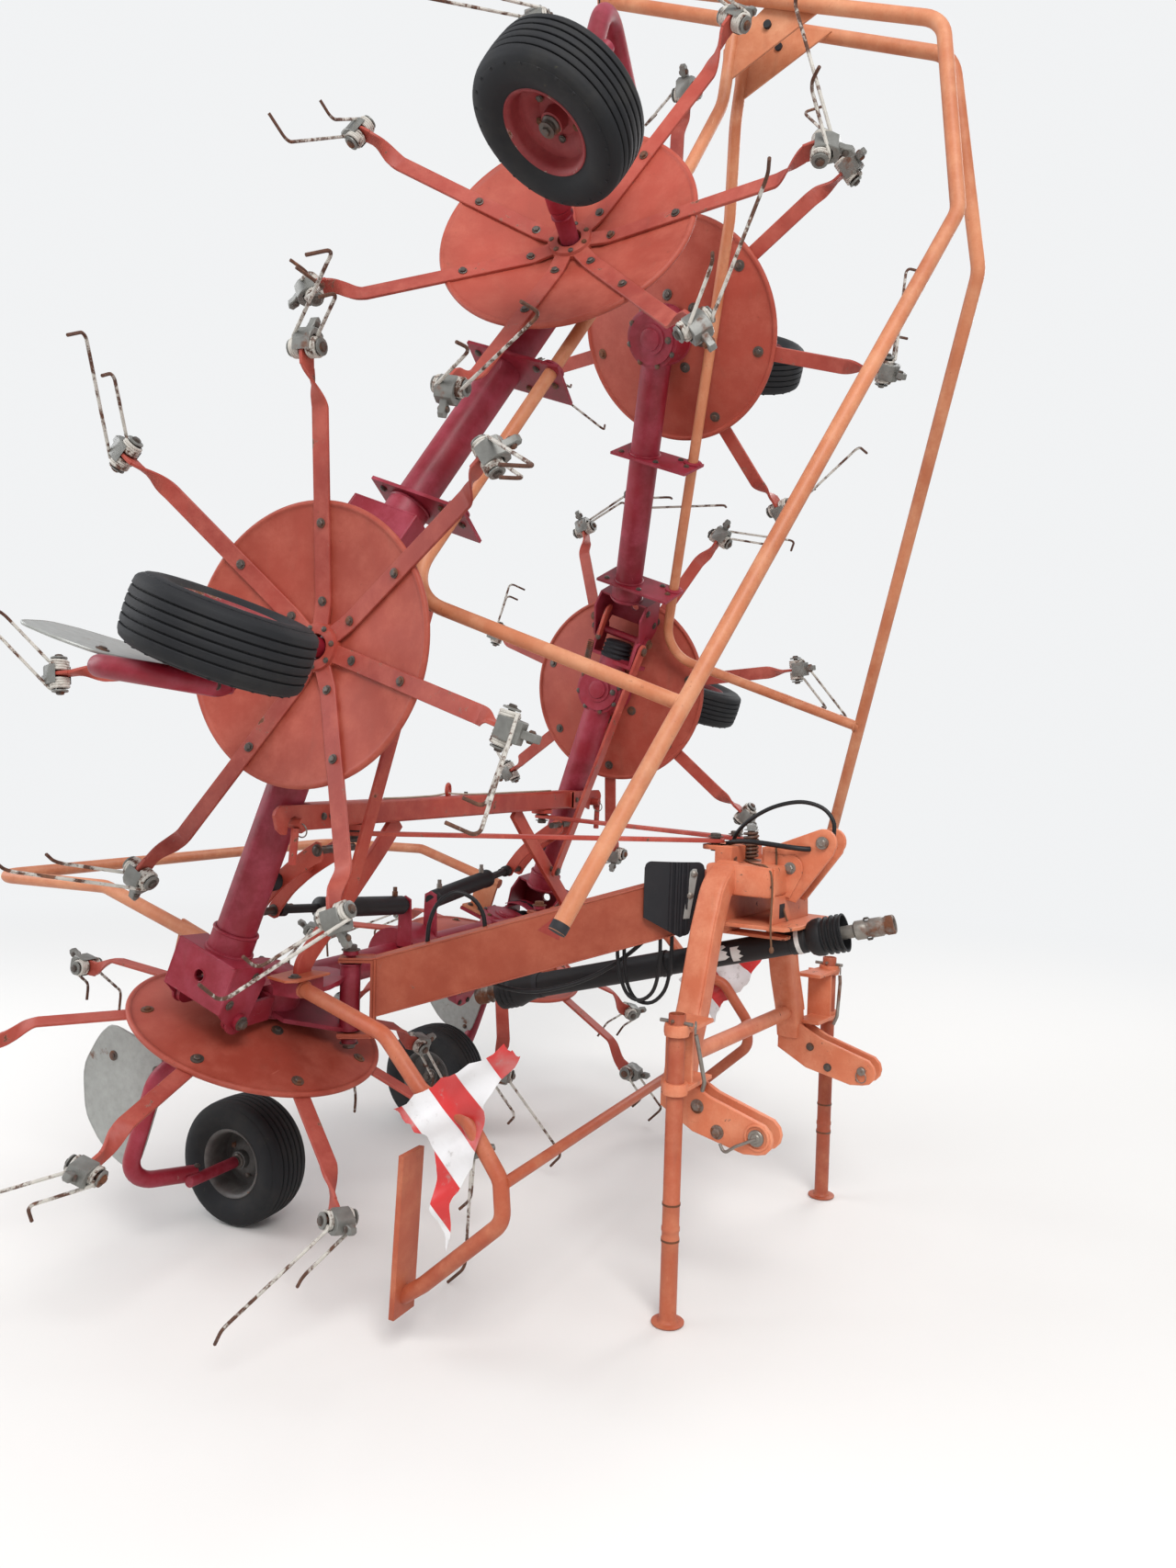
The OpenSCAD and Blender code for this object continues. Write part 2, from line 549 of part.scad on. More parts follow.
// Outer wing: hood, tube, gear housing, flange plates for the guard
plate_1 = hinge_2 + 235;
plate_2 = rotor_o - 430;
brace_x = 180;
guard_z = 85;
module flange_plate(y) difference() {
    translate([-105, y, tube_z - 75]) cube([brace_x + 105 + 32, 10, 150]);
    rod([brace_x, y - 1, guard_z], [brace_x, y + 11, guard_z], guard_d - 4 + 2 * pin_gap);
}
module outer_wing(s) color("crimson") on_wing(2, s) {
    difference() {
        union() {
            hood(hinge_2, wing_tube_2);
            rod([0, hinge_2 + hood_len - 2, tube_z], [0, rotor_o + 20, tube_z], wing_tube_2);
            translate([0, rotor_o, 0]) housing();
            flange_plate(plate_1);
            flange_plate(plate_2);
        }
        translate([0, rotor_o, 0]) column_bore();
    }
    hinge_pin(hinge_2);
}

// Guard round the outer rotor, bent at its outer end to stand beside the other one when folded
guard_x = 1040;
guard_bend = 26.7;
module wing_guard(s) color("sandybrown") on_wing(2, s) translate([0, rotor_o, 0]) {
    bent_tube([[guard_x, -1820, guard_z], [1014, 390, 60], [740, 916, -72], [-475, 948, -50]], guard_d, 92);
    bent_tube([[guard_x - 6, -1210, guard_z], [brace_x, -1210, guard_z], [brace_x, 400, guard_z],
               [150, 670, guard_z + 2], [84, 933, -44]], guard_d - 4, 130);
    // Gusset between brace and guard
    translate([0, 726, 60]) rotate([-guard_bend, 0, 0]) linear_extrude(8, center = true)
        polygon([[128, -12], [92, 90], [150, 180], [190, 238], [362, 238]]);
}

// Lock strut beside the folded wing
strut_v = strut_high - strut_low;
module lock_strut(s) color("tomato") rotor_frame() mirrored_side(s) {
    span = norm(strut_v);
    translate(strut_low) rotate([90, 0, 90]) rotate([0, 0, atan2(strut_v[2], strut_v[1])]) linear_extrude(12)
        difference() {
            union() {
                translate([0, -strut_w / 2]) square([span, strut_w]);
                circle(d = strut_w);
                translate([span, 0]) circle(d = strut_w);
            }
            circle(d = strut_pin);
        }
    rod(strut_high, strut_high + [22, 0, 0], strut_pin + 14);
}

// Booms, with a bent bracket round the rear pivot column, and the flat bars above them
function swung(p) = [p[0] * cos(swing) + p[1] * sin(swing), swing_y - p[0] * sin(swing) + p[1] * cos(swing)];
function front_pivot(s) = swung([-front_x, s * front_y]);
function rear_pivot(s) = [-pivot_x, s * pivot_y];
boom_rear_z = 835;
boom_front_z = 1100;
// The left linkage's front eyes are wide, for the bolt's path as the headstock swings
function front_hole(s) = s > 0 ? pivot_bolt + 13 : pivot_bolt + 2 * pin_gap;
module boom_frame(s) {
    a = rear_pivot(s);
    v = front_pivot(s) - a;
    world() translate([a[0], a[1], 0]) rotate([0, 0, atan2(v[1], v[0])]) children();
}
module boom(s) {
    v = front_pivot(s) - rear_pivot(s);
    rise = boom_front_z - boom_rear_z;
    span = norm(v);
    web = 62;
    z0 = column_z0 - joint_gap - 12;
    z1 = column_z1 + joint_gap;
    color("chocolate") boom_frame(s) {
        difference() {
            union() {
                for (z = [z0, z1]) translate([-35, -35, z]) cube([web + 47, 70, 12]);
                translate([web, -35, z0]) cube([12, 70, z1 + 12 - z0]);
                // Sloping beam
                translate([0, boom_w / 2, 0]) rotate([90, 0, 0]) linear_extrude(boom_w)
                    polygon([[web + 12, boom_rear_z - boom_h / 2], [span - 110, boom_front_z - boom_h / 2],
                             [span - 70, boom_front_z - 60], [span - 70, boom_front_z + 60],
                             [span - 110, boom_front_z + boom_h / 2], [web + 12, boom_rear_z + boom_h / 2]]);
                // Front eye
                translate([span, 0, boom_front_z - 50]) cylinder(d = 76, h = 90);
                translate([span - 80, -26, boom_front_z - 50]) cube([80, 52, 90]);
            }
            translate([span, 0, boom_front_z - 60]) cylinder(d = front_hole(s), h = 120);
            translate([0, 0, z0 - 1]) cylinder(d = pivot_bolt + 2 * pin_gap, h = 14);
            translate([0, 0, z1 - 1]) cylinder(d = pivot_bolt + 2 * pin_gap, h = 14);
        }
    }
}
module sway_bar(s) {
    v = front_pivot(s) - rear_pivot(s);
    color("tomato") boom_frame(s) translate([0, 0, bar_z - 6])
        linear_extrude(12) difference() {
            union() {
                translate([0, -25]) square([norm(v), 50]);
                circle(d = 56);
                translate([norm(v), 0]) circle(d = front_hole(s) + 27);
            }
            circle(d = pivot_bolt + 2 * pin_gap);
            translate([norm(v), 0]) circle(d = front_hole(s));
        }
}

// Headstock: bent legs, top box, jaw plates, link plates and stand clamps
leg_line = [[150, 1205], [205, 1170], [262, 1050], [330, 830], [385, 700], [405, 610]];
stand_x = 198;
stand_y = 562;
module headstock() color("darkorange") headstock_frame() {
    difference() {
        union() {
            // Top box between the legs
            translate([-330, -165, 1148]) cube([220, 330, 92]);
            for (s = [1, -1]) mirrored_side(s) {
                translate([-310, 0, 0]) rotate([90, 0, 90]) linear_extrude(80) polygon(strip(leg_line, 78));
                // Outer and inner plates of the lower link clevis
                for (y = [hitch_y - 30, hitch_y + 32]) translate([0, y + 14, 0]) rotate([90, 0, 0]) linear_extrude(14)
                    difference() {
                        polygon([[-310, 640], [-225, 650], [-150, 612], [20, 560], [45, 520], [30, 480], [-20, 470],
                                 [-200, 505], [-310, 560]]);
                        translate([0, hitch_z]) circle(d = hitch_pin);
                    }
                // Clamps of the parking stand on an arm from the leg
                for (z = [650, 790]) difference() {
                    union() {
                        translate([-stand_x, stand_y, z]) cylinder(d = stand_d + 24, h = 34);
                        translate([-stand_x - 60, 360, z]) cube([90, stand_y - 360, 34]);
                    }
                    translate([-stand_x, stand_y, z - 1]) cylinder(d = stand_d + 2 * pin_gap, h = 36);
                }
            }
            // Cross tube between the legs
            rod([-270, -385, 690], [-270, 385, 690], 48);
            // Pivot tower of the booms and bars
            for (z = [boom_front_z - 70, boom_front_z + 48]) translate([-front_x, -front_y - 40, z])
                cube([front_x - 262, 2 * front_y + 80, 12]);
            for (s = [1, -1], z = [boom_front_z - 70, boom_front_z + 48]) translate([-front_x, s * front_y, 0])
                cylinder_from_to(z, z + 12, 40);
            for (z = [boom_front_z - 70, boom_front_z + 48]) translate([-front_x - 40, -front_y, z])
                cube([50, 2 * front_y, 12]);
            translate([-292, -232, boom_front_z - 70]) cube([30, 464, 130]);
            for (s = [1, -1]) translate([-front_x, s * front_y, 0]) {
                cylinder_from_to(boom_front_z - 72, boom_front_z + 60, pivot_bolt / 2);
                cylinder_from_to(boom_front_z - 84, boom_front_z - 70, pivot_bolt / 2 + 9);
                // Bolt of the sway bar on its lug
                cylinder_from_to(bar_z - 26, bar_z - 12, 40);
                cylinder_from_to(bar_z - 26, bar_z + 24, pivot_bolt / 2);
                cylinder_from_to(bar_z + 12, bar_z + 26, pivot_bolt / 2 + 9);
            }
            translate([-front_x - 40, -front_y, bar_z - 26]) cube([70, 2 * front_y, 14]);
            translate([-front_x + 18, -110, 1238]) cube([58, 220, bar_z - 12 - 1238]);
            // Jaw plates of the top link
            for (y = [-44, 32]) translate([0, y + 12, 0]) rotate([90, 0, 0]) linear_extrude(12) difference() {
                polygon([[-200, 1200], [-40, 1240], [40, 1290], [40, 1335], [10, 1355], [-60, 1330], [-200, 1290]]);
                translate([0, top_z]) circle(d = top_pin);
            }
        }
    }
}
module hitch_pins() color("silver") headstock_frame() for (s = [1, -1]) mirrored_side(s) {
    rod([0, hitch_y - 44, hitch_z], [0, hitch_y + 60, hitch_z], hitch_pin - pin_gap);
    rod([0, hitch_y + 46, hitch_z], [0, hitch_y + 56, hitch_z], hitch_pin + 18);
}
module top_link_pin() color("silver") headstock_frame() {
    rod([0, -60, top_z], [0, 60, top_z], top_pin - pin_gap);
    rod([0, -56, top_z], [0, -46, top_z], top_pin + 14);
}
module stand(s) color("tomato") headstock_frame() mirrored_side(s) translate([-stand_x, stand_y, 0]) {
    cylinder(d = foot_d, h = 6);
    cylinder(d = stand_d, h = stand_h);
    // Bands that stay below the clamps as the stand slides up
    for (z = [230, 260, 330]) translate([0, 0, z]) cylinder(d = stand_d + 4, h = 8);
}
module hose_flap() color("dimgray") boom_frame(-1) {
    translate([970, -46, 1020]) rotate([90, 0, 0]) linear_extrude(8)
        polygon(concat([[-95, 0], [95, 0]], arc([55, 175], 40, 0, 90), arc([-55, 175], 40, 90, 180)));
    for (x = [-60, 0, 60]) translate([966 + x, -58, 1035]) cube([8, 4, 170]);
    translate([905, -46, 1085]) cube([60, 16, 60]);
}

// Front guard: a tube loop on each side and the cross bar between them
loop_y = 980;
module front_guard() color("darkorange") world() {
    for (s = [1, -1]) mirrored_side(s) difference() {
        bent_tube([[-1280, 872, 884], [-900, loop_y, 820], [-780, loop_y, 690], [-640, loop_y, 640], [-540, loop_y, 505],
                   [-530, loop_y, 400], [-760, loop_y, 190], [-822, loop_y, 145]], guard_d, 60);
        translate([seat_x - 90, 700, column_z1 - 100]) cube([90, 300, 200]);
    }
    for (s = [1, -1]) mirrored_side(s) translate([0, loop_y + 48, 0]) rotate([90, 0, 0]) linear_extrude(96)
        polygon(strip([[-806, 530], [-826, 100]], 16));
    rod([-527, -loop_y, 500], [-527, loop_y, 500], 30);
}
// Rear guard: a tube bow round the back of the centre rotors on two feet
rear_y = 870;
module rear_guard() color("darkorange") for (s = [1, -1]) {
    world() mirrored_side(s)
        bent_tube([[-1640, rear_y, 978], [-2050, rear_y, 1105], [-2560, rear_y, 1100], [-2560, -1, 1100]], guard_d, 90);
    rotor_frame() mirrored_side(s) {
        translate([-256, rotor_c + 75, tube_z - 24]) cube([100, 79, 12]);
        translate([0, rear_y - 6, 0]) rotate([90, 0, 0]) linear_extrude(12)
            polygon([[-256, tube_z - 24], [-156, tube_z - 24], [-160, 262], [-268, 262]]);
    }
}
module warning_sheet(s) color("white") world() mirrored_side(s) translate([0, loop_y + 25, 0]) rotate([90, 0, 0])
    linear_extrude(4) polygon([[-857, 632], [-528, 851], [-486, 821], [-640, 560], [-700, 440], [-740, 600]]);

// Drive shaft in its guard tube
shaft_rear = [-1110, 0, 730];
shaft_front = [68, 0, 1051];
module shaft_guard() color("dimgray") world() {
    v = unit(shaft_front - shaft_rear);
    difference() {
        union() {
            rod(shaft_rear, shaft_front, 80);
            rod(shaft_front - v * 110, shaft_front, 118);
            rod(shaft_rear, shaft_rear + v * 130, 124);
        }
        rod(shaft_rear - v * 10, shaft_front + v * 10, 52);
    }
}
module drive_shaft() color("silver") world() {
    v = unit(shaft_front - shaft_rear);
    difference() {
        union() {
            rod(shaft_rear - v * 60, shaft_front + v * 50, 40);
            rod(shaft_rear - v * 100, shaft_rear - v * 40, 64);
            rod(shaft_front + v * 30, shaft_front + v * 150, 58);
        }
        rod(shaft_front + v * 70, shaft_front + v * 160, 34.9);
    }
}

for (r = ROTORS) {
    rotor(r);
    tines(r);
}
for (g = LEGS) {
    leg(g);
    tyre(g);
    rim(g);
}
for (s = SIDES) {
    inner_wing(s[1]);
    outer_wing(s[1]);
    wing_guard(s[1]);
    lock_strut(s[1]);
    boom(s[1]);
    sway_bar(s[1]);
    stand(s[1]);
    warning_sheet(s[1]);
}
centre_frame();
union() {
    upper_frame();
    strut_pins();
}
front_guard();
rear_guard();
headstock();
hitch_pins();
top_link_pin();
hose_flap();
shaft_guard();
drive_shaft();
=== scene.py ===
import math
import bpy
import bmesh
from mathutils import Matrix, Vector


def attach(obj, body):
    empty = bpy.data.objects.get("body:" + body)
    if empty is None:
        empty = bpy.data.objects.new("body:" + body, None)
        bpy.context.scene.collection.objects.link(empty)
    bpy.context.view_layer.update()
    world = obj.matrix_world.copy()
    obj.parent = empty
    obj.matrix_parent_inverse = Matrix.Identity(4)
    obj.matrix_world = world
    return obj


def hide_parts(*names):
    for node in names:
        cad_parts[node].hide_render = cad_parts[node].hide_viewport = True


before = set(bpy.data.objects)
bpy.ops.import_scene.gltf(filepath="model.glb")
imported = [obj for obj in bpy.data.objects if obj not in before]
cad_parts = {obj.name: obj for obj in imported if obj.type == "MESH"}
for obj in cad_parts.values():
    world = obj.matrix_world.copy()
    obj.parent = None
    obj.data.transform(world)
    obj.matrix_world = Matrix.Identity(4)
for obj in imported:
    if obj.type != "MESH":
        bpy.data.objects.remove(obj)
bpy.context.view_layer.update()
scene = bpy.context.scene

# Places in the model's frame, metres: lower link pins, rotor frame, hinges of the wings, folds as parked
MIDDLE = Vector((1.108119, 0.0, 0.0))
LEAN = math.radians(19.65)
BASE = Vector((-1.571, 0.0, 0.695)) + MIDDLE
FOLD_1 = math.radians(94.2)
FOLD_2 = math.radians(22.8)
TUBE_Z = 0.130
HINGE_1 = 0.955
HINGE_2 = 2.265
ROTOR_Y = (0.710, 2.030, 3.440)
SWING = math.radians(7.43)
HEAD_Y = 0.028
ARMS = 7
AXLE_Z = 0.520
BOOM_PIVOT = (-1.300, 0.606)
TOWER_X = -0.346
TOWER_Y = 0.072
SIDES = (("left", 1), ("right", -1))
# Rotors: name, wing (0 centre, 1 inner, 2 outer), side, first arm's angle, way the tines trail, radial lean
ROTORS = [
    ("left_centre", 0, 1, 0.0, 1, 0.080),
    ("right_centre", 0, -1, 180 / ARMS, 1, 0.080),
    ("left_inner", 1, 1, 180 / ARMS, -1, 0.115),
    ("right_inner", 1, -1, 2.0, -1, 0.115),
    ("left_outer", 2, 1, 0.0, 1, -0.095),
    ("right_outer", 2, -1, 22.5, 1, -0.095),
]
# Wheel legs: wheel centre forward and outward, side of the wheel on which the tube passes
LEGS = {
    "left_centre": (0.0, -0.150, 1),
    "right_centre": (0.0, -0.150, 1),
    "left_inner": (0.150, 0.0, -1),
    "right_inner": (0.195, 0.0, -1),
    "left_outer": (0.080, -0.176, 1),
    "right_outer": (0.243, -0.176, 1),
}
X, Y, Z = Vector((1, 0, 0)), Vector((0, 1, 0)), Vector((0, 0, 1))
ORIGIN = (0, 0, 0)
# Frames that put a flat outline upright: in the xz plane (thickness towards -y) and in the yz plane
XZ = Matrix.Rotation(math.radians(90), 4, "X")
YZ = Matrix(((0, 0, 1, 0), (1, 0, 0, 0), (0, 1, 0, 0), (0, 0, 0, 1)))
ROAD = Matrix.Translation(MIDDLE)
HEAD = Matrix.Translation(MIDDLE + Vector((0, HEAD_Y, 0))) @ Matrix.Rotation(-SWING, 4, "Z")


def mirrored(side):
    """Turns the left side's form to a side: 1 keeps it, -1 mirrors it."""
    return Matrix.Diagonal((1, side, 1, 1))


HALVES = [(side, mirrored(side)) for side in (1, -1)]


def around(n):
    """Angles of n equal steps round a circle."""
    return [2 * math.pi * k / n for k in range(n)]


def at(matrix, *points):
    """Points placed by a matrix."""
    return [matrix @ Vector(p) for p in points]


def about_x(y, z, angle):
    """A turn about the line along x at (y, z)."""
    return Matrix.Translation((0, y, z)) @ Matrix.Rotation(angle, 4, "X") @ Matrix.Translation((0, -y, -z))


def wing_matrix(wing, side):
    """Unfolded rotor frame of a wing to the model's frame, as parked."""
    m = Matrix.Translation(BASE) @ Matrix.Rotation(LEAN, 4, "Y") @ mirrored(side)
    if wing > 0:
        m = m @ about_x(HINGE_1, TUBE_Z, FOLD_1)
    if wing > 1:
        m = m @ about_x(HINGE_2, TUBE_Z, FOLD_2)
    return m


def rotor_matrix(wing, side):
    """A rotor's frame, with z its axis and the origin under the wing tube, to the model's frame."""
    return wing_matrix(wing, side) @ Matrix.Translation((0, ROTOR_Y[wing], 0))


def boom_matrix(side):
    """The frame of a boom, from its rear pivot towards its front one, and its length."""
    x, y = TOWER_X, side * TOWER_Y
    cos, sin = math.cos(SWING), math.sin(SWING)
    front = Vector((x * cos + y * sin, HEAD_Y - x * sin + y * cos, 0))
    rear = Vector((BOOM_PIVOT[0], side * BOOM_PIVOT[1], 0))
    v = front - rear
    return ROAD @ Matrix.Translation(rear) @ Matrix.Rotation(math.atan2(v.y, v.x), 4, "Z"), v.length


def place_camera():
    """The camera where the photograph was taken from."""
    yaw, pitch, roll = (math.radians(a) for a in (115.836, -1.883, 1.696))
    ahead = Vector((math.cos(pitch) * math.cos(yaw), math.cos(pitch) * math.sin(yaw), math.sin(pitch)))
    across = Vector((math.sin(yaw), -math.cos(yaw), 0))
    over = across.cross(ahead)
    right = math.cos(roll) * across + math.sin(roll) * over
    up = -math.sin(roll) * across + math.cos(roll) * over
    lens = bpy.data.cameras.new("camera")
    lens.sensor_width = 36
    lens.lens = 26.17
    lens.clip_end = 200
    camera = bpy.data.objects.new("camera", lens)
    place = Vector((0.84693, -3.41392, 1.58693)) + MIDDLE
    camera.matrix_world = Matrix.Translation(place) @ Matrix((right, up, -ahead)).transposed().to_4x4()
    scene.collection.objects.link(camera)
    scene.camera = camera


place_camera()


# Materials, all from nodes
def srgb(text):
    """Linear colour of a hex colour."""
    v = [int(text[i:i + 2], 16) / 255 for i in (0, 2, 4)]
    return [c / 12.92 if c <= 0.04045 else ((c + 0.055) / 1.055) ** 2.4 for c in v] + [1.0]


class Nodes:
    """Short forms for building one material's nodes. A text that is put in a socket is a hex colour."""

    def __init__(self, name):
        self.material = bpy.data.materials.new(name)
        self.material.use_nodes = True
        self.tree = self.material.node_tree
        self.shader = self.tree.nodes["Principled BSDF"]
        self.where = self.new("TexCoord").outputs["Object"]

    def new(self, kind, **inputs):
        """A node of a kind, with values or links for its inputs."""
        n = self.tree.nodes.new("ShaderNode" + kind)
        for name, v in inputs.items():
            self.put(n.inputs[name], v)
        return n

    def put(self, socket, v):
        """A link, a hex colour or a value for a socket."""
        if isinstance(v, bpy.types.NodeSocket):
            self.tree.links.new(v, socket)
        else:
            socket.default_value = srgb(v) if isinstance(v, str) else v

    def shade(self, **inputs):
        """Sets the shader's own sockets."""
        for name, v in inputs.items():
            self.put(self.shader.inputs[name.replace("_", " ")], v)

    def noise(self, scale, detail=4.0, rough=0.55, distortion=0.0, where=None):
        """Cloudy pattern in the object's own coordinates, or in others."""
        n = self.new("TexNoise", Scale=scale, Detail=detail, Roughness=rough, Distortion=distortion,
                     Vector=where or self.where)
        return n.outputs["Fac"]

    def stretched(self, scale):
        """The object's coordinates, scaled along each axis."""
        return self.new("Mapping", Scale=scale, Vector=self.where).outputs[0]

    def ramp(self, value, low, high):
        """0 below low, 1 above high, smooth between."""
        n = self.new("MapRange")
        n.interpolation_type = "SMOOTHSTEP"
        for i, v in enumerate((value, low, high)):
            self.put(n.inputs[i], v)
        return n.outputs[0]

    def calc(self, operation, a, b):
        """Arithmetic on two numbers, kept between 0 and 1."""
        n = self.new("Math")
        n.operation = operation
        n.use_clamp = True
        self.put(n.inputs[0], a)
        self.put(n.inputs[1], b)
        return n.outputs[0]

    def times(self, a, b):
        """Product of two numbers."""
        return self.calc("MULTIPLY", a, b)

    def mix(self, share, a, b):
        """Blend of two colours."""
        n = self.new("Mix")
        n.data_type = "RGBA"
        for i, v in ((0, share), (6, a), (7, b)):
            self.put(n.inputs[i], v)
        return n.outputs[2]

    def value(self, share, a, b):
        """Blend of two numbers."""
        n = self.new("Mix")
        for i, v in ((0, share), (2, a), (3, b)):
            self.put(n.inputs[i], v)
        return n.outputs[0]

    def edges(self):
        """1 on convex edges."""
        return self.ramp(self.new("NewGeometry").outputs["Pointiness"], 0.515, 0.56)

    def bump(self, height, strength, distance):
        """Small relief from a pattern."""
        n = self.new("Bump", Strength=strength, Distance=distance, Height=height)
        self.shade(Normal=n.outputs[0])


def paint(name, colour, faded, deep, chips, edge, dirt, rough=0.45, primer="8f7468"):
    """Old machine paint: faded and darker clouds, rusty chips with pale rims, worn edges, dust."""
    n = Nodes(name)
    fine = n.ramp(n.noise(9.0, 7.0, 0.68), 0.36, 0.76)
    base = n.mix(n.ramp(n.noise(1.7), 0.34, 0.7), deep, colour)
    base = n.mix(n.times(fine, 0.6), base, faded)
    # Dirt that has run down, and a fine grain
    run = n.ramp(n.noise(3.0, 6.0, 0.62, 0.3, n.stretched((7.0, 7.0, 1.0))), 0.55, 0.82)
    base = n.mix(n.times(run, 0.45 * dirt), base, "5d4436")
    base = n.mix(n.times(n.ramp(n.noise(150.0, 3.0, 0.7), 0.35, 0.7), 0.14), base, deep)
    # Chips, more of them on edges: a rim of primer round bare, rusty steel
    worn = n.times(n.edges(), n.ramp(n.noise(7.0, 5.0), 0.40, 0.62))
    level = n.calc("ADD", n.noise(26.0, 9.0, 0.72, 0.5), n.times(worn, edge))
    low = 0.745 - 0.05 * chips
    rim = n.ramp(level, low - 0.012, low)
    bare = n.ramp(level, low + 0.004, low + 0.016)
    base = n.mix(n.times(rim, 0.7), base, primer)
    base = n.mix(bare, base, n.mix(n.noise(60.0), "4d2b1d", "80503a"))
    # Rust specks and scratches
    speck = n.ramp(n.noise(95.0, 4.0, 0.62), 0.66, 0.72)
    base = n.mix(n.times(speck, 0.7 * dirt), base, "57301f")
    scored = n.ramp(n.noise(2.0, 3.0, 0.5, 0.0, n.stretched((60.0, 3.0, 9.0))), 0.735, 0.76)
    base = n.mix(n.times(scored, 0.5), base, faded)
    n.shade(Base_Color=base, Roughness=n.value(n.calc("ADD", bare, n.times(fine, 0.35)), rough, 0.85),
            Specular_IOR_Level=0.35)
    n.bump(n.calc("SUBTRACT", n.times(n.noise(18.0), 0.4), n.times(rim, 0.5)), 0.22, 0.002)
    return n.material


def tine_wire(name):
    """Spring wire: pale paint round the coils, worn to dark rust towards the tips."""
    n = Nodes(name)
    wear = n.new("Attribute")
    wear.attribute_name = "wear"
    worn = n.calc("SUBTRACT", wear.outputs["Fac"], 0.56)
    bare = n.ramp(n.calc("ADD", n.noise(30.0, 7.0, 0.7), worn), 0.50, 0.62)
    pale = n.mix(n.noise(50.0), "9a948c", "d0ccc2")
    rust = n.mix(n.noise(70.0, 5.0), "2e1e18", "6b4533")
    light = n.ramp(n.noise(18.0, 6.0, 0.7), 0.54, 0.68)
    n.shade(Base_Color=n.mix(bare, pale, n.mix(n.times(light, 0.5), rust, "8d5f45")),
            Roughness=n.value(bare, 0.5, 0.78), Specular_IOR_Level=0.4)
    n.bump(n.noise(110.0, 5.0), 0.3, 0.001)
    return n.material


def metal(name, bright, dull, rust_share, metallic):
    """Bare or galvanised steel with rust in patches."""
    n = Nodes(name)
    patch = n.ramp(n.noise(11.0, 7.0, 0.62), 0.62 - 0.28 * rust_share, 0.72 - 0.2 * rust_share)
    rust = n.mix(n.noise(70.0, 5.0), "3f2517", "7d4a2c")
    n.shade(Base_Color=n.mix(patch, n.mix(n.noise(46.0, 5.0), dull, bright), rust),
            Roughness=n.value(patch, 0.42, 0.85), Metallic=n.value(patch, metallic, 0.0))
    n.bump(n.noise(90.0, 5.0), 0.3, 0.001)
    return n.material


def rubber(name, colour, dust, share, rough, moss=0.0):
    """Rubber, plastic or rope under a film of dust, with spots of moss."""
    n = Nodes(name)
    film = n.ramp(n.noise(7.0, 6.0, 0.65), 0.42, 0.8)
    base = n.mix(n.times(film, share), colour, dust)
    spot = n.ramp(n.noise(26.0, 5.0, 0.6), 0.68, 0.76)
    n.shade(Base_Color=n.mix(n.times(spot, moss), base, "6f6a4c"),
            Roughness=n.value(film, rough, min(1.0, rough + 0.2)), Specular_IOR_Level=0.35)
    n.bump(n.noise(130.0), 0.15, 0.001)
    return n.material


def warning_material(name):
    """White reflective film with slanting red bars, worn."""
    n = Nodes(name)
    wave = n.new("TexWave", Scale=2.3, Distortion=0.6, Vector=n.where)
    wave.wave_type = "BANDS"
    wave.bands_direction = "DIAGONAL"
    base = n.mix(n.ramp(wave.outputs["Fac"], 0.49, 0.52), "d6d4d4", "c02a2a")
    base = n.mix(n.times(n.ramp(n.noise(6.0, 5.0), 0.5, 0.7), 0.35), base, "a8a09a")
    scuff = n.ramp(n.noise(24.0, 7.0, 0.7), 0.58, 0.72)
    n.shade(Base_Color=n.mix(n.times(scuff, 0.7), base, "8f8a84"), Roughness=0.4)
    n.bump(n.noise(14.0, 5.0), 0.35, 0.006)
    return n.material


# Colour, faded, deep, chips, edge wear, dirt, roughness, primer
PAINTS = {
    "disc_red": ("a64636", "b3604e", "8e3828", 0.15, 0.05, 0.5, 0.55),
    "arm_red": ("a54436", "b86454", "8a342a", 0.35, 0.12, 0.6, 0.5),
    "crimson": ("921c2c", "a8485a", "6c101c", 0.25, 0.1, 0.35, 0.4, "a07a78"),
    "frame_red": ("b04434", "c26854", "8e3028", 0.45, 0.12, 0.5),
    "guard_orange": ("c27a55", "d29c78", "a8603f", 0.35, 0.03, 0.5),
    "stand_orange": ("ae5638", "c07c5c", "92422c", 0.45, 0.05, 0.6),
    "head_orange": ("d67e5a", "e09c7a", "bc6444", 0.3, 0.12, 0.4),
    "boom_brown": ("a54e34", "b2644a", "8e3e28", 0.15, 0.1, 0.35),
    "patch_red": ("9c3a30", "aa5040", "862c26", 0.1, 0.05, 0.4),
    "rim_grey": ("5e5c5a", "7c7a76", "423e3c", 0.5, 0.1, 0.8),
    "rim_red": ("842a2c", "9c4c4a", "5c181c", 0.8, 0.2, 0.8, 0.5, "a89890"),
}
# Bright, dull, share of rust, metallic
METALS = {
    "cast_grey": ("84847f", "5a5954", 0.15, 0.2),
    "pin_steel": ("9a948c", "6a645c", 0.45, 0.6),
    "shield_grey": ("a6a7a3", "83847f", 0.04, 0.15),
    "bolt_dark": ("5e5650", "3c342e", 0.5, 0.4),
    "spring_rust": ("6c5a4e", "4c3c34", 0.8, 0.2),
    "label_white": ("d6d4d0", "b4b0aa", 0.05, 0.0),
}
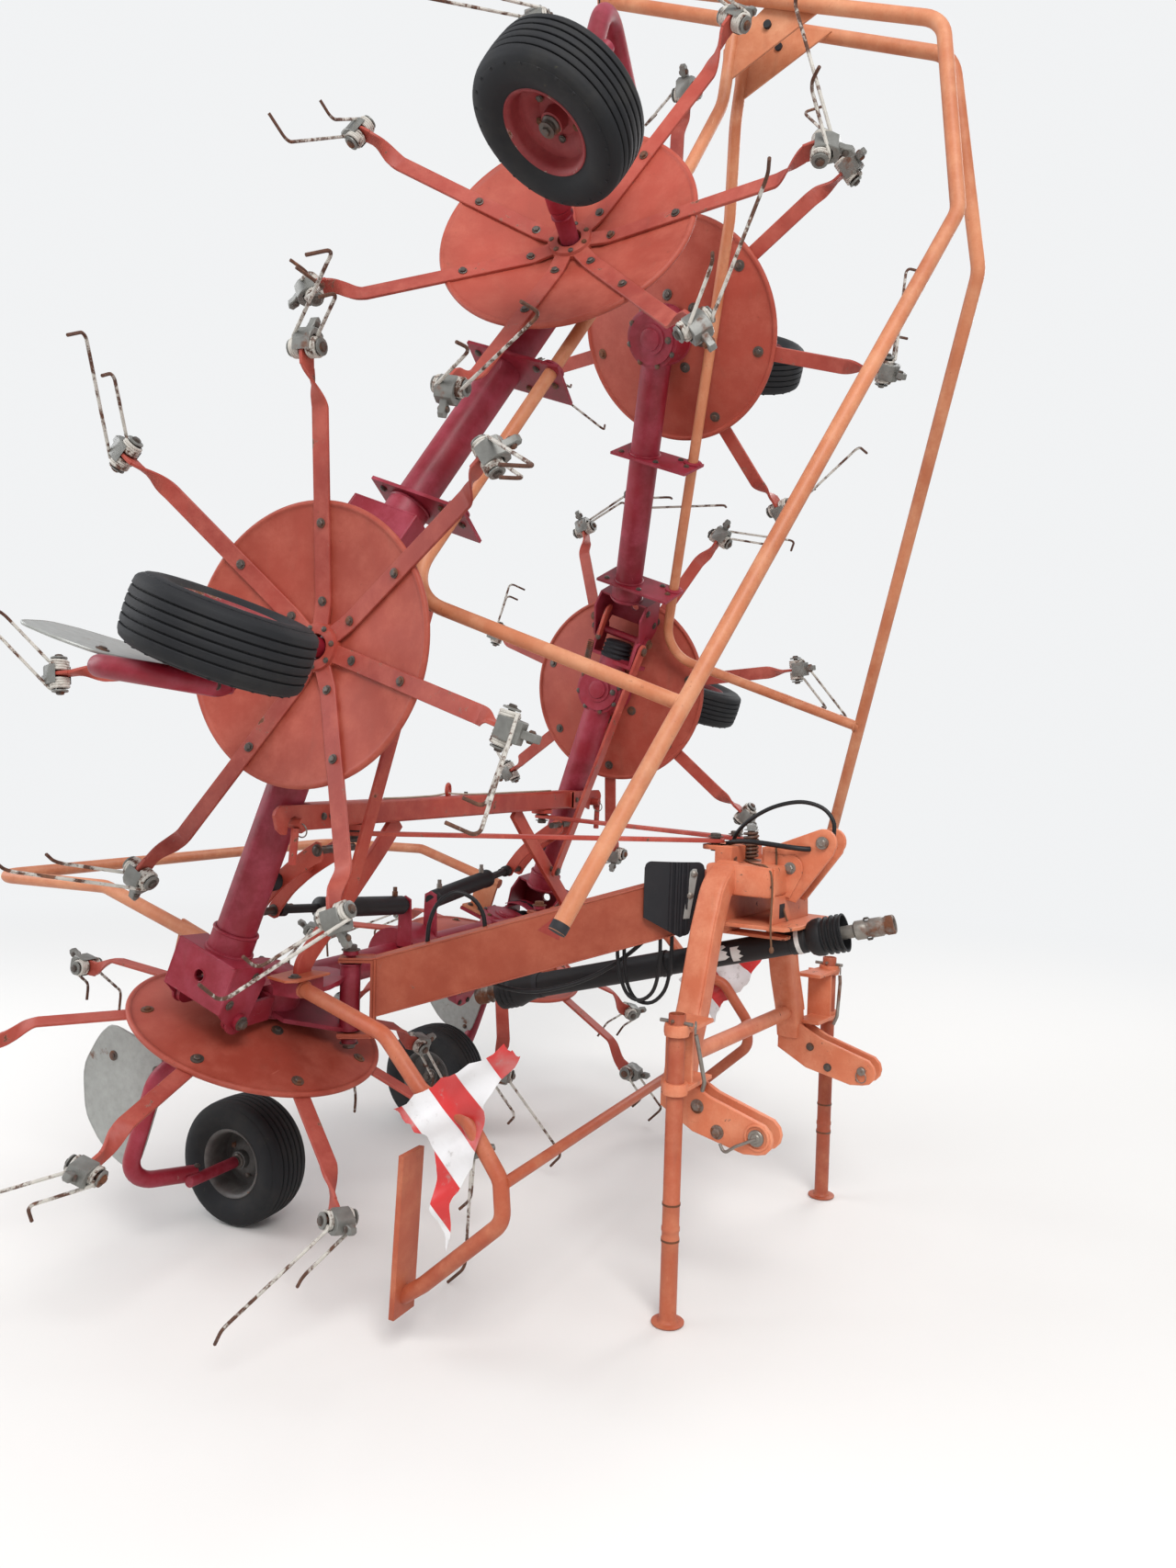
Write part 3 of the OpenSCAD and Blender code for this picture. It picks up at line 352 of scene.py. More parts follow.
# Colour, dust, share of dust, roughness, moss
RUBBERS = {
    "tyre": ("151619", "45433f", 0.42, 0.72, 0.25),
    "black_plastic": ("141416", "34322f", 0.35, 0.5),
    # Black rubber, also used as the painted shade in the holes of the centre frame's covers
    "black_rubber": ("1b1b1f", "3c3a3a", 0.4, 0.6),
    "hose_black": ("121214", "3a3834", 0.3, 0.45),
    "rope_pale": ("b9ac98", "7c6c58", 0.6, 0.9),
    "rope_brown": ("6b4c38", "3c2c22", 0.6, 0.9),
}
MATS = {name: kind(name, *row) for kind, table in ((paint, PAINTS), (metal, METALS), (rubber, RUBBERS))
        for name, row in table.items()}
MATS["tine_steel"] = tine_wire("tine_steel")
MATS["sheet_white"] = warning_material("sheet_white")

# The materials of the CAD nodes, by the start of their names
STARTS = {
    "disc_red": ("rotor_",),
    "tine_steel": ("tines_",),
    "tyre": ("tyre_",),
    "rim_grey": ("rim_left_centre", "rim_right_centre"),
    "rim_red": ("rim_",),
    "crimson": ("leg_", "inner_wing", "outer_wing", "centre_frame"),
    "guard_orange": ("wing_guard", "rear_guard"),
    "stand_orange": ("front_guard", "stand"),
    "head_orange": ("headstock",),
    "frame_red": ("lock_strut", "sway_bar", "upper_frame"),
    "boom_brown": ("boom",),
    "sheet_white": ("warning",),
    "pin_steel": ("hitch_pins", "top_link", "drive_shaft"),
    "black_rubber": ("hose_flap",),
    "black_plastic": ("shaft_guard",),
}
for node_name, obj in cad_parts.items():
    key = next(mat for mat, starts in STARTS.items() if node_name.startswith(starts))
    obj.data.materials.clear()
    obj.data.materials.append(MATS[key])


# Mesh helpers
def along(axis):
    """Turns +z to an axis."""
    return Vector(axis).normalized().to_track_quat("Z", "Y").to_matrix().to_4x4()


class Shape:
    """A mesh under construction, with a material per face and wear per point."""

    def __init__(self, mat):
        self.mat = mat
        self.verts, self.faces, self.mats, self.sharp, self.wear = [], [], [], [], []

    def merge(self, other, matrix):
        """Adds a copy of another shape, placed by the matrix."""
        start = len(self.verts)
        self.verts += [tuple(matrix @ Vector(v)) for v in other.verts]
        self.faces += [[start + i for i in f] for f in other.faces]
        self.mats += other.mats
        self.sharp += other.sharp
        self.wear += other.wear

    def loft(self, rows, mat=None, smooth=True, loop=False, wear=None):
        """A skin through rows of points, closed at both ends or round in a loop."""
        n, count, start = len(rows[0]), len(rows), len(self.verts)
        faces = [[i * n + k, i * n + (k + 1) % n, (i + 1) % count * n + (k + 1) % n, (i + 1) % count * n + k]
                 for i in range(count if loop else count - 1) for k in range(n)]
        if not loop:
            faces += [list(range(n))[::-1], [(count - 1) * n + k for k in range(n)]]
        self.verts += [tuple(v) for row in rows for v in row]
        self.faces += [[start + i for i in f] for f in faces]
        self.mats += [mat or self.mat] * len(faces)
        self.sharp += [not smooth] * len(faces)
        self.wear += wear or [0.0] * (n * count)

    def lathe(self, place, profile, sides=24, axis=None, mat=None, loop=False, smooth=True, matrix=None):
        """A turned form about an axis, z if none is given: profile rows are (height, radius) along it."""
        if matrix is None:
            matrix = along(axis) if axis else Matrix()
        m = Matrix.Translation(place) @ matrix
        turns = around(sides)
        self.loft([[m @ Vector((max(r, 1e-4) * math.cos(a), max(r, 1e-4) * math.sin(a), z)) for a in turns]
                   for z, r in profile], mat, smooth, loop)

    def tube(self, path, radius, sides=10, mat=None, wear=None):
        """A round wire or tube along points."""
        rows = sweep_rows(path, radius, sides)
        values = None
        if wear:
            values = [wear[0] + (wear[1] - wear[0]) * i / (len(rows) - 1)
                      for i in range(len(rows)) for k in range(sides)]
        self.loft(rows, mat, wear=values)

    def prism(self, outline, low, high, matrix=Matrix(), bevel=0.0, mat=None):
        """A plate, its outline in the matrix's xy plane, from low to high along z, with a small bevel."""
        rows = [(low, 0), (high, 0)]
        if bevel:
            rows = [(low, bevel), (low + bevel, 0), (high - bevel, 0), (high, bevel)]
        self.loft([[matrix @ Vector((p[0], p[1], z)) for p in inset_outline(outline, inset)]
                   for z, inset in rows], mat, False)

    def build(self, name, body, matrix=Matrix(), replaces=()):
        """Makes the object, turned to its place, riding on a body and standing for the named nodes."""
        mesh = bpy.data.meshes.new(name)
        flip = matrix.to_3x3().determinant() < 0
        faces = [f[::-1] for f in self.faces] if flip else self.faces
        mesh.from_pydata([matrix @ Vector(v) for v in self.verts], [], faces)
        kinds = sorted(set(self.mats))
        for k in kinds:
            mesh.materials.append(MATS[k])
        mesh.polygons.foreach_set("material_index", [kinds.index(m) for m in self.mats])
        mesh.polygons.foreach_set("use_smooth", [not s for s in self.sharp])
        if any(self.wear):
            mesh.attributes.new("wear", "FLOAT", "POINT").data.foreach_set("value", self.wear)
        bm = bmesh.new()
        bm.from_mesh(mesh)
        bmesh.ops.recalc_face_normals(bm, faces=bm.faces)
        bm.to_mesh(mesh)
        bm.free()
        mesh.set_sharp_from_angle(angle=math.radians(38))
        obj = bpy.data.objects.new(name, mesh)
        scene.collection.objects.link(obj)
        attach(obj, body)
        if replaces:
            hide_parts(*replaces)
        return obj


def inset_outline(outline, d):
    """A closed outline moved inwards by d."""
    if not d:
        return outline
    n = len(outline)
    area = sum(p[0] * q[1] - q[0] * p[1] for p, q in zip(outline, outline[1:] + outline[:1]))
    s = 1 if area > 0 else -1
    out = []
    for i in range(n):
        p, a, b = (Vector(outline[j][:2]) for j in (i, i - 1, (i + 1) % n))
        u, v = (p - a).normalized(), (b - p).normalized()
        m = Vector((-(u.y + v.y), u.x + v.x))
        if m.length < 1e-9:
            m = Vector((-u.y, u.x))
        m.normalize()
        k = max(0.35, m.dot(Vector((-u.y, u.x))))
        out.append(p + s * m * d / k)
    return [(q.x, q.y) for q in out]


def sweep_rows(path, radius, sides):
    """Rings of points along a path, turned as little as possible from one to the next."""
    path = [Vector(p) for p in path]
    turns = around(sides)
    rows = []
    normal = None
    for i, p in enumerate(path):
        t = (path[min(i + 1, len(path) - 1)] - path[max(i - 1, 0)]).normalized()
        if normal is None:
            normal = t.orthogonal().normalized()
        normal = (normal - normal.dot(t) * t).normalized()
        side = t.cross(normal)
        r = radius[i] if isinstance(radius, (list, tuple)) else radius
        rows.append([p + r * (math.cos(a) * normal + math.sin(a) * side) for a in turns])
    return rows


def rounded(corners, bend, step=9.0):
    """Corner points with round bends of one radius."""
    pts = [Vector(c) for c in corners]
    out = [pts[0]]
    for i in range(1, len(pts) - 1):
        u, v = (pts[i] - pts[i - 1]).normalized(), (pts[i + 1] - pts[i]).normalized()
        a = u.angle(v)
        if a < 0.02:
            continue
        w = (v - u.dot(v) * u).normalized()
        shorter = min((pts[i] - pts[i - 1]).length, (pts[i + 1] - pts[i]).length)
        cut = min(bend * math.tan(a / 2), 0.49 * shorter)
        r = cut / math.tan(a / 2)
        c = pts[i] - u * cut + w * r
        n = max(2, round(math.degrees(a) / step))
        out += [c + r * (math.sin(a * k / n) * u - math.cos(a * k / n) * w) for k in range(n + 1)]
    return out + [pts[-1]]


def arc(x, y, r, first, last, step):
    """Points of an arc about (x, y), from the first to the last angle in degrees."""
    angles = [math.radians(d) for d in range(first, last + (1 if step > 0 else -1), step)]
    return [(x + r * math.cos(a), y + r * math.sin(a)) for a in angles]


def smooth_outline(points, rounds=2):
    """Corner cutting of a closed outline, so that it reads as a cut sheet."""
    for _ in range(rounds):
        points = [q for a, b in zip(points, points[1:] + points[:1])
                  for q in ((a[0] * 0.82 + b[0] * 0.18, a[1] * 0.82 + b[1] * 0.18),
                            (a[0] * 0.18 + b[0] * 0.82, a[1] * 0.18 + b[1] * 0.82))]
    return points


def bolt(shape, place, axis, d=0.016, mat="bolt_dark", washer=1.0, head=0.65):
    """A hexagon head on a washer, standing out along axis."""
    r = d * washer
    shape.lathe(place, [(0, 0), (0, r), (0.0025, r), (0.003, r * 0.92), (0.003, 0)], 16, axis, mat)
    shape.lathe(place, [(0.002, d * 0.86), (d * head * 0.8, d * 0.86), (d * head, d * 0.66)], 6, axis, mat,
                smooth=False)


def ring(shape, place, axis, r, wire, mat=None, sides=28):
    """A ring or bead of round wire."""
    m = Matrix.Translation(place) @ along(axis)
    turns = [2 * math.pi * k / sides for k in range(sides + 1)]
    shape.tube([m @ Vector((r * math.cos(a), r * math.sin(a), 0)) for a in turns], wire, 8, mat)


def coil_spring(shape, low, high, r, wire, turns, mat):
    """A wound spring between two points."""
    axis = Vector(high) - Vector(low)
    m = Matrix.Translation(low) @ along(axis)
    steps = int(turns * 14)
    path = []
    for k in range(steps + 1):
        a = 2 * math.pi * k / 14
        path.append(m @ Vector((r * math.cos(a), r * math.sin(a), k / steps * axis.length)))
    shape.tube(path, wire, 7, mat)


def box_row(centre, u, v, w, h, r):
    """A rounded rectangle about a centre, along directions u and v."""
    row = []
    for q, (cu, cv) in enumerate(((1, 1), (-1, 1), (-1, -1), (1, -1))):
        for k in range(5):
            a = math.pi / 2 * (q + k / 4)
            across, up = cu * (w / 2 - r) + r * math.cos(a), cv * (h / 2 - r) + r * math.sin(a)
            row.append(centre + u * across + v * up)
    return row


def box_beam(s, a, b, u, w, h, r):
    """A rounded square tube from a to b, with its width w along u."""
    a, b = Vector(a), Vector(b)
    v = (b - a).normalized().cross(u)
    s.loft([box_row(p, u, v, w, h, r) for p in (a, b)])


# Tines, metres: arm's end and thickness, the coils' depth below the disc, wire, coil and number of turns
ARM_R = 0.735
ARM_T = 0.010
COIL_Z = 0.152
WIRE = 0.0095
COIL_R = 0.027
TURNS = 4
COIL_W = TURNS * (WIRE * 1.02)
CLAMP = [(0.012, 0.030), (0.040, 0.026), (0.050, 0.008), (0.047, -0.014), (0.030, -0.026), (0.010, -0.030),
         (-0.014, -0.027), (-0.004, -0.020), (0.016, -0.021), (0.030, -0.010), (0.032, 0.006),
         (0.022, 0.020), (0.002, 0.025), (-0.010, 0.030)]
EAR = [(0.040, 0.010), (0.058, 0.026), (0.078, 0.030), (0.086, 0.020), (0.080, 0.008), (0.062, 0.002),
       (0.046, -0.008)]
CUP = [(0, 0.022), (0.004, 0.022), (0.005, 0.019)]


def coil_and_leg(s, side, way, radial):
    """One coil beside the arm, and the leg that leaves its outer end and runs down to a hooked tip."""
    mid = COIL_R - WIRE / 2
    start = Vector((mid, side * (ARM_T / 2 + COIL_W) - side * WIRE / 2, 0))
    knee = Vector((radial, way * 0.255, -0.205)) if side > 0 else Vector((radial * 0.5, way * 0.130, -0.115))
    hook = Vector((-radial * 0.35, -way * 0.012, -0.062)) * (1.15 if side > 0 else 0.8)
    steps = 22
    helix = []
    for k in range(TURNS * steps + 1):
        a = 2 * math.pi * k / steps
        y = side * (ARM_T / 2 + WIRE / 2 + (COIL_W - WIRE) * k / (TURNS * steps))
        helix.append(Vector((mid * math.cos(a), y, mid * math.sin(a))))
    s.tube(helix, WIRE / 2, 8, wear=(0.32, 0.42))
    low = start + knee
    leg = rounded([helix[-1], start + Vector((0.002, 0, -0.012)), low, low + hook], 0.03, 12)
    fine = [leg[0]]
    for a, b in zip(leg, leg[1:]):
        n = max(1, int((b - a).length / 0.03))
        fine += [a + (b - a) * k / n for k in range(1, n + 1)]
    s.tube(fine, WIRE / 2, 8, wear=(0.42, 0.78))


def tine_pair(way, radial):
    """Two coils on a bolt with a cast clamp, a long leg and a short one."""
    s = Shape("tine_steel")
    for side in (1, -1):
        coil_and_leg(s, side, way, radial)
    reach = COIL_W + ARM_T / 2
    s.lathe((0, -reach - 0.012, 0), [(0, 0.0085), (2 * reach + 0.024, 0.0085)], 10, mat="bolt_dark",
            matrix=Matrix.Rotation(math.radians(-90), 4, "X"))
    for side in (1, -1):
        s.lathe((0, side * (reach + 0.001), 0), CUP, 16, mat="cast_grey",
                matrix=Matrix.Rotation(math.radians(-90 * side), 4, "X"))
        bolt(s, (0, side * (reach + 0.005), 0), (0, side, 0), 0.013)
    s.prism(CLAMP, -0.027, 0.027, XZ, 0.002, "cast_grey")
    s.prism(EAR, -0.010, 0.010, XZ, 0.002, "cast_grey")
    for side in (-1, 1):
        bolt(s, (0.062, side * 0.010, 0.015), (0, side, 0), 0.009)
    return s


# Rotor discs with rolled rims, and the flat arms under them
DISC_RISE = 0.065
DISC_T = 0.006
DISC_IN = 0.100
RIM_IN = 0.365
ARM_W = 0.050
ARM_BOLTS = (0.128, 0.328)
SLOPE = math.atan(DISC_RISE / (RIM_IN - DISC_IN))
BEAD = [(-0.004 + 0.009 * math.sin(math.radians(a)), 0.378 + 0.009 * math.cos(math.radians(a)))
        for a in range(150, -151, -25)]
DISC = [(0.045, 0.036), (0.066, 0.036), (0.066, 0.071), (0.065, 0.076), (0.065, 0.098), (0.0635, 0.105),
        (0.046, 0.178), (0.023, 0.271), (0.002, 0.358), (0.0, 0.3655)] + BEAD + [
            (-0.0065, 0.3655), (-0.0045, 0.357), (0.0175, 0.270), (0.0405, 0.177), (0.0585, 0.100),
            (0.059, 0.070), (0.045, 0.068)]
BOSS = [(0.036, 0.0362), (0.034, 0.046), (0.036, 0.062), (0.047, 0.066), (0.047, 0.0362)]


def disc_z(r):
    """Height of the disc's upper face."""
    return DISC_RISE - (r - DISC_IN) * math.tan(SLOPE)


def arm_z(r):
    """Height of an arm's middle under the disc."""
    return DISC_RISE - DISC_T - ARM_T / 2 - (r - DISC_IN) * math.tan(SLOPE)


def bar_row(x, z, turn, w=ARM_W, t=ARM_T, c=0.0016):
    """Section of a flat bar with cut corners, turned about its length."""
    half = [(w / 2 - c, t / 2), (w / 2, t / 2 - c), (w / 2, c - t / 2), (w / 2 - c, -t / 2)]
    row = half + [(-y, -v) for y, v in half]
    k, q = math.cos(turn), math.sin(turn)
    return [Vector((x, y * k - v * q, z + y * q + v * k)) for y, v in row]


def arm():
    """A flat arm that follows the disc, twists upright and ends in the tines' eye."""
    s = Shape("arm_red")
    flat_end, twist_end = ARM_R - 0.125, ARM_R - 0.045
    rows = [bar_row(0.062, arm_z(0.122) + 0.001, 0), bar_row(0.121, arm_z(0.122), 0)]
    rows += [bar_row(r, arm_z(r), 0) for r in (0.125, 0.240, 0.360, 0.480, flat_end - 0.012)]
    for i in range(13):
        k = i / 12
        ease = k * k * (3 - 2 * k)
        rows.append(bar_row(flat_end + (twist_end + 0.004 - flat_end) * k,
                            arm_z(flat_end) + (-COIL_Z + 0.010 - arm_z(flat_end)) * (ease * 0.5 + k * 0.5),
                            math.pi / 2 * ease))
    s.loft(rows, smooth=False)
    eye = [(0.688, -0.117)] + arc(ARM_R, -COIL_Z, 0.025, 100, -80, -20) + [(0.712, -0.1745), (0.688, -0.167)]
    s.prism(eye, -ARM_T / 2, ARM_T / 2, XZ, 0.0016)
    return s


def rotor(name, wing, side, first, way, radial, one_arm):
    """The disc with its arms, the tine pairs at their ends, and the bolts above and below."""
    pair = tine_pair(way, radial)
    tines, disc, bolts = Shape("tine_steel"), Shape("disc_red"), Shape("bolt_dark")
    disc.lathe(ORIGIN, DISC, 112, loop=True)
    disc.lathe(ORIGIN, BOSS, 40, mat="arm_red", loop=True)
    out = Vector((math.sin(SLOPE), 0, math.cos(SLOPE)))
    nut = Vector((0.054 * math.cos(0.45), 0.054 * math.sin(0.45), 0.036))
    for i in range(ARMS):
        m = Matrix.Rotation(math.radians(first + i * 360 / ARMS), 4, "Z")
        disc.merge(one_arm, m)
        tines.merge(pair, m @ Matrix.Translation((ARM_R, 0, -COIL_Z)))
        for r in ARM_BOLTS:
            top = Vector((r, 0, disc_z(r)))
            bolt(bolts, m @ top, m.to_3x3() @ out, 0.0125, washer=1.5, head=0.75)
            bolt(bolts, m @ (top - out * (DISC_T + ARM_T)), m.to_3x3() @ -out, 0.0115, washer=1.15, head=0.8)
        bolt(bolts, m @ nut, -Z, 0.008)
    place = rotor_matrix(wing, side)
    tines.build("tine_set_" + name, "rotor_" + name, place, ["tines_" + name])
    disc.build("disc_and_arms_" + name, "rotor_" + name, place, ["rotor_" + name])
    bolts.build("disc_bolts_" + name, "rotor_" + name, place)


one_arm = arm()
for row in ROTORS:
    rotor(*row, one_arm)

# Tyres and rims, turned about their axles: half sections as (height, radius)
RIBS = 6
CROWN_HALF = 0.0625
CROWN_R = 0.2005
CROWN_RISE = 0.0045
WALL = [(-0.060, 0.104), (-0.064, 0.110), (-0.066, 0.118), (-0.073, 0.130), (-0.0775, 0.142),
        (-0.079, 0.158), (-0.0785, 0.170), (-0.0755, 0.182), (-0.0745, 0.1835), (-0.0735, 0.1835),
        (-0.070, 0.191), (-0.066, 0.1965)]
DISH = [(-0.032, 0.0128), (-0.032, 0.026), (-0.030, 0.029), (-0.010, 0.030), (-0.006, 0.040),
        (-0.003, 0.052), (0.008, 0.062), (0.014, 0.072), (0.017, 0.086), (0.018, 0.094), (0.010, 0.096),
        (-0.030, 0.096), (-0.050, 0.098)]
FLANGE = [(-0.058, 0.100), (-0.066, 0.107), (-0.067, 0.111), (-0.064, 0.1135), (-0.061, 0.112),
          (-0.060, 0.103), (-0.055, 0.102)]
DISH_BACK = [(0.050, 0.098), (0.028, 0.096), (0.024, 0.094), (0.022, 0.080), (0.018, 0.070), (0.010, 0.060),
             (0.002, 0.050), (0.002, 0.030), (0.030, 0.029), (0.032, 0.026), (0.032, 0.0128)]
SHOULDER_BAR = [(0.1765, -0.0035), (0.1835, -0.0030), (0.1835, 0.0030), (0.1765, 0.0035)]


def turned_over(section):
    """The section of the other flank."""
    return [(-z, r) for z, r in reversed(section)]


def tread():
    """Round-edged ribs across the crown."""
    points = []
    low, rib = -CROWN_HALF, 2 * CROWN_HALF / RIBS
    for i in range(RIBS):
        a = low + i * rib
        crown = [CROWN_R + CROWN_RISE * (1 - ((a + rib * k) / CROWN_HALF) ** 2) for k in (0.0, 0.5, 1.0)]
        points += [(a + 0.0008, crown[0] - 0.001), (a + 0.0022, crown[0]), (a + rib * 0.5, crown[1]),
                   (a + rib - 0.0052, crown[2]), (a + rib - 0.0040, crown[2] - 0.001),
                   (a + rib - 0.0034, crown[2] - 0.0065), (a + rib - 0.0006, crown[2] - 0.0065)]
    return points[:-2]


def tyre():
    """A ribbed tyre with bars on its shoulders."""
    s = Shape("tyre")
    s.lathe(ORIGIN, WALL + tread() + turned_over(WALL), 72, loop=True)
    for a in around(24):
        m = Matrix.Rotation(a, 4, "Z")
        for z in (-1, 1):
            s.prism(SHOULDER_BAR, z * 0.0740 - 0.0012, z * 0.0760 + 0.0012, m, 0.0005)
    return s


def rim(mat):
    """Rim well with flanges, dished disc, wheel bolts, valve and bearing caps."""
    s = Shape(mat)
    s.lathe(ORIGIN, DISH + FLANGE + turned_over(FLANGE) + DISH_BACK, 56)
    for a in around(5):
        c = Vector((0.056 * math.cos(a + 0.3), 0.056 * math.sin(a + 0.3), 0))
        bolt(s, c + Vector((0, 0, -0.001)), -Z, 0.010)
        bolt(s, c + Vector((0, 0, 0.008)), Z, 0.010)
    valve = [(0.078, 0, 0.010), (0.082, 0, -0.016), (0.082, 0, -0.034)]
    s.tube(valve, [0.005, 0.005, 0.0035], 10, "black_rubber")
    for z in (-1, 1):
        cap = [(0, 0.0245), (z * 0.004, 0.0245), (z * 0.008, 0.020)]
        s.lathe((0, 0, z * 0.032), cap, 20, mat="bolt_dark")
    return s


for name, wing, side, *_ in ROTORS:
    x, y, _ = LEGS[name]
    place = rotor_matrix(wing, side) @ Matrix.Translation((x, y, -AXLE_Z)) @ XZ
    tyre().build("tyre_tread_" + name, "wheel_" + name, place, ["tyre_" + name])
    rim("rim_red" if wing else "rim_grey").build("wheel_rim_" + name, "wheel_" + name, place, ["rim_" + name])

# Wheel legs: column with rings, bent tube, axle tube and leaf shield
LEG_R = 0.0255
LEAF_OUT = [(-0.090, -0.125), (-0.200, -0.105), (-0.340, -0.113), (-0.375, -0.168), (-0.404, -0.290),
            (-0.345, -0.420), (-0.262, -0.472), (-0.178, -0.492), (-0.090, -0.490)]
LEAF_LOW = [(0.005, -0.300), (-0.090, -0.310), (-0.150, -0.370), (-0.230, -0.490), (-0.245, -0.580),
            (-0.180, -0.712), (-0.080, -0.690), (0.005, -0.630)]
COLUMN = [(-0.128, 0.020), (-0.128, 0.031), (-0.125, 0.034), (-0.072, 0.034), (-0.069, 0.031),
          (-0.069, 0.0325), (-0.067, 0.033), (-0.064, 0.033), (-0.062, 0.028), (-0.047, 0.028),
          (-0.045, 0.033), (-0.042, 0.033), (-0.040, 0.028), (0.150, 0.028)]


def leaf(s, outline, shift, y, bolts, t=0.006):
    """Sheet shield with a folded rim and its bolts."""
    m = Matrix.Translation((shift, y + t, 0)) @ XZ
    line = smooth_outline(outline)
    s.prism(line, 0, t, m, 0.001, "shield_grey")
    s.tube([m @ Vector((p[0], p[1], t / 2)) for p in line + line[:1]], 0.0042, 8, "shield_grey")
    for x, z in bolts:
        bolt(s, (shift + x, y + t, z), Y, 0.011, washer=1.4)
        bolt(s, (shift + x, y, z), -Y, 0.010)


def wheel_leg(name, wing, side):
    """Column, bent tube, axle tube with its nut, and the leaf shield of a centre or inner leg."""
    x, y, passes = LEGS[name]
    s = Shape("crimson")
    s.lathe(ORIGIN, COLUMN, 40)
    if passes > 0:
        out = y + 0.408
        path = rounded([(0, 0, -0.098), (x - 0.100, out, -0.112), (x - 0.100, out, -AXLE_Z),
                        (x - 0.025, y + 0.195, -AXLE_Z)], 0.092)
        axle = (0.245, 0.046, -0.052)
        if wing == 0:
            leaf(s, LEAF_OUT, x, out - 0.0305, [(-0.125, -0.160), (-0.125, -0.450), (-0.300, -0.200)])
    else:
        path = rounded([(0, 0, -0.098), (0, -0.158, -0.250), (0, -0.158, -0.668), (x, -0.113, -0.640),
                        (x, -0.113, -0.505)], 0.062)
        axle = (-0.113 - y, -0.046 - y, 0.052 - y)
        leaf(s, LEAF_LOW, 0, -0.1335, [(-0.035, -0.360), (-0.035, -0.600)])
    s.tube(path, LEG_R, 22)
    ring(s, path[2], path[3] - path[1], LEG_R + 0.001, 0.003)
    a, b, c = (Vector((x, y + k, -AXLE_Z)) for k in axle)
    n = (b - a).length
    s.lathe(a, [(0.0, 0.016), (0.002, 0.018), (n - 0.002, 0.018), (n, 0.016)], 28, b - a)
    s.tube([b - (b - a).normalized() * 0.004, c], 0.0124, 20, "pin_steel")
    bolt(s, c, c - a, 0.0125, washer=1.7, head=0.9)
    bolt(s, path[-1] + Vector((0, 0, LEG_R)), Z, 0.010)
    s.build("leg_tube_" + name, "leg_" + name, rotor_matrix(wing, side), ["leg_" + name])


for name, wing, side, *_ in ROTORS:
    wheel_leg(name, wing, side)

# Guard tubes with smooth bends
GUARD_R = 0.021
GUARD_Z = 0.085
GUARD_X = 1.040
GUARD_TOP = (GUARD_X, -1.820, GUARD_Z)
GUARD_END = (-0.475, 0.948, -0.050)
BRACE_X = 0.180
TOP_CAP = [(-0.001, 0.018), (-0.001, 0.0205), (0.003, 0.0217), (0.022, 0.0217), (0.023, 0.021)]
END_CAP = [(-0.001, 0.017), (0.001, 0.0205), (0.010, 0.0215), (0.011, 0.021)]
GUSSET = [(0.128, -0.012), (0.092, 0.090), (0.150, 0.180), (0.190, 0.238), (0.362, 0.238)]
TILT = Matrix.Rotation(math.radians(-26.7), 4, "X")


def wing_guard(label, side):
    """Bent tube round the outer rotor, its brace, gusset and end caps."""
    s = Shape("guard_orange")
    s.tube(rounded([GUARD_TOP, (1.014, 0.390, 0.060), (0.740, 0.916, -0.072), GUARD_END], 0.092), GUARD_R, 24)
    brace = rounded([(GUARD_X - 0.006, -1.210, GUARD_Z), (BRACE_X, -1.210, GUARD_Z),
                     (BRACE_X, 0.400, GUARD_Z), (0.150, 0.670, 0.087), (0.084, 0.933, -0.044)], 0.130)
    s.tube(brace, GUARD_R - 0.002, 24)
    ring(s, brace[0] - Vector((0.016, 0, 0)), X, GUARD_R, 0.004)
    s.prism(GUSSET, -0.004, 0.004, Matrix.Translation((0, 0.726, 0.060)) @ TILT, 0.001)
    s.lathe((0.210, 0.880, -0.020), [(-0.012, 0.008), (-0.012, 0.012), (0.012, 0.012), (0.012, 0.008)], 16,
            mat="black_rubber", matrix=TILT)
    s.lathe(GUARD_TOP, TOP_CAP, 24, Y, "black_rubber")
    s.lathe(GUARD_END, END_CAP, 24, X, "black_rubber")
    s.build("guard_tubes_" + label, "outer_" + label, rotor_matrix(2, side), ["wing_guard_" + label])


for label, side in SIDES:
    wing_guard(label, side)

# Front guard: two loops with end plates and a cross bar
LOOP_Y = 0.980
GUARD_PLATE = [(-0.798, 0.5305), (-0.814, 0.5300), (-0.834, 0.1003), (-0.818, 0.0997)]
SEAT = [(-1.345, 0.785), (-1.235, 0.785), (-1.235, 0.925), (-1.262, 0.948), (-1.345, 0.925)]
front = Shape("stand_orange")
for side, m in HALVES:
    loop = rounded([(-1.252, 0.880, 0.879), (-0.900, LOOP_Y, 0.820), (-0.780, LOOP_Y, 0.690),
                    (-0.640, LOOP_Y, 0.640), (-0.540, LOOP_Y, 0.505), (-0.530, LOOP_Y, 0.400),
                    (-0.760, LOOP_Y, 0.190), (-0.822, LOOP_Y, 0.145)], 0.060)
    front.tube(at(m, *loop), GUARD_R, 24)
    front.prism(GUARD_PLATE, -LOOP_Y - 0.048, -LOOP_Y + 0.048, m @ XZ, 0.002)
    # Clamp plate and bolts at the seat on the centre frame
    front.prism(SEAT, 0.9055, 0.9135, m, 0.0015)
    for x, y in ((-1.320, 0.815), (-1.268, 0.900)):
        bolt(front, m @ Vector((x, y, 0.9135)), Z, 0.014, washer=1.3)
    ring(front, m @ Vector((-1.250, 0.8805, 0.8787)), m @ (loop[1] - loop[0]), GUARD_R + 0.001, 0.004)
front.tube([(-0.527, -LOOP_Y, 0.500), (-0.527, LOOP_Y, 0.500)], 0.015, 20)
front.build("front_guard_tubes", "frame", ROAD, ["front_guard"])

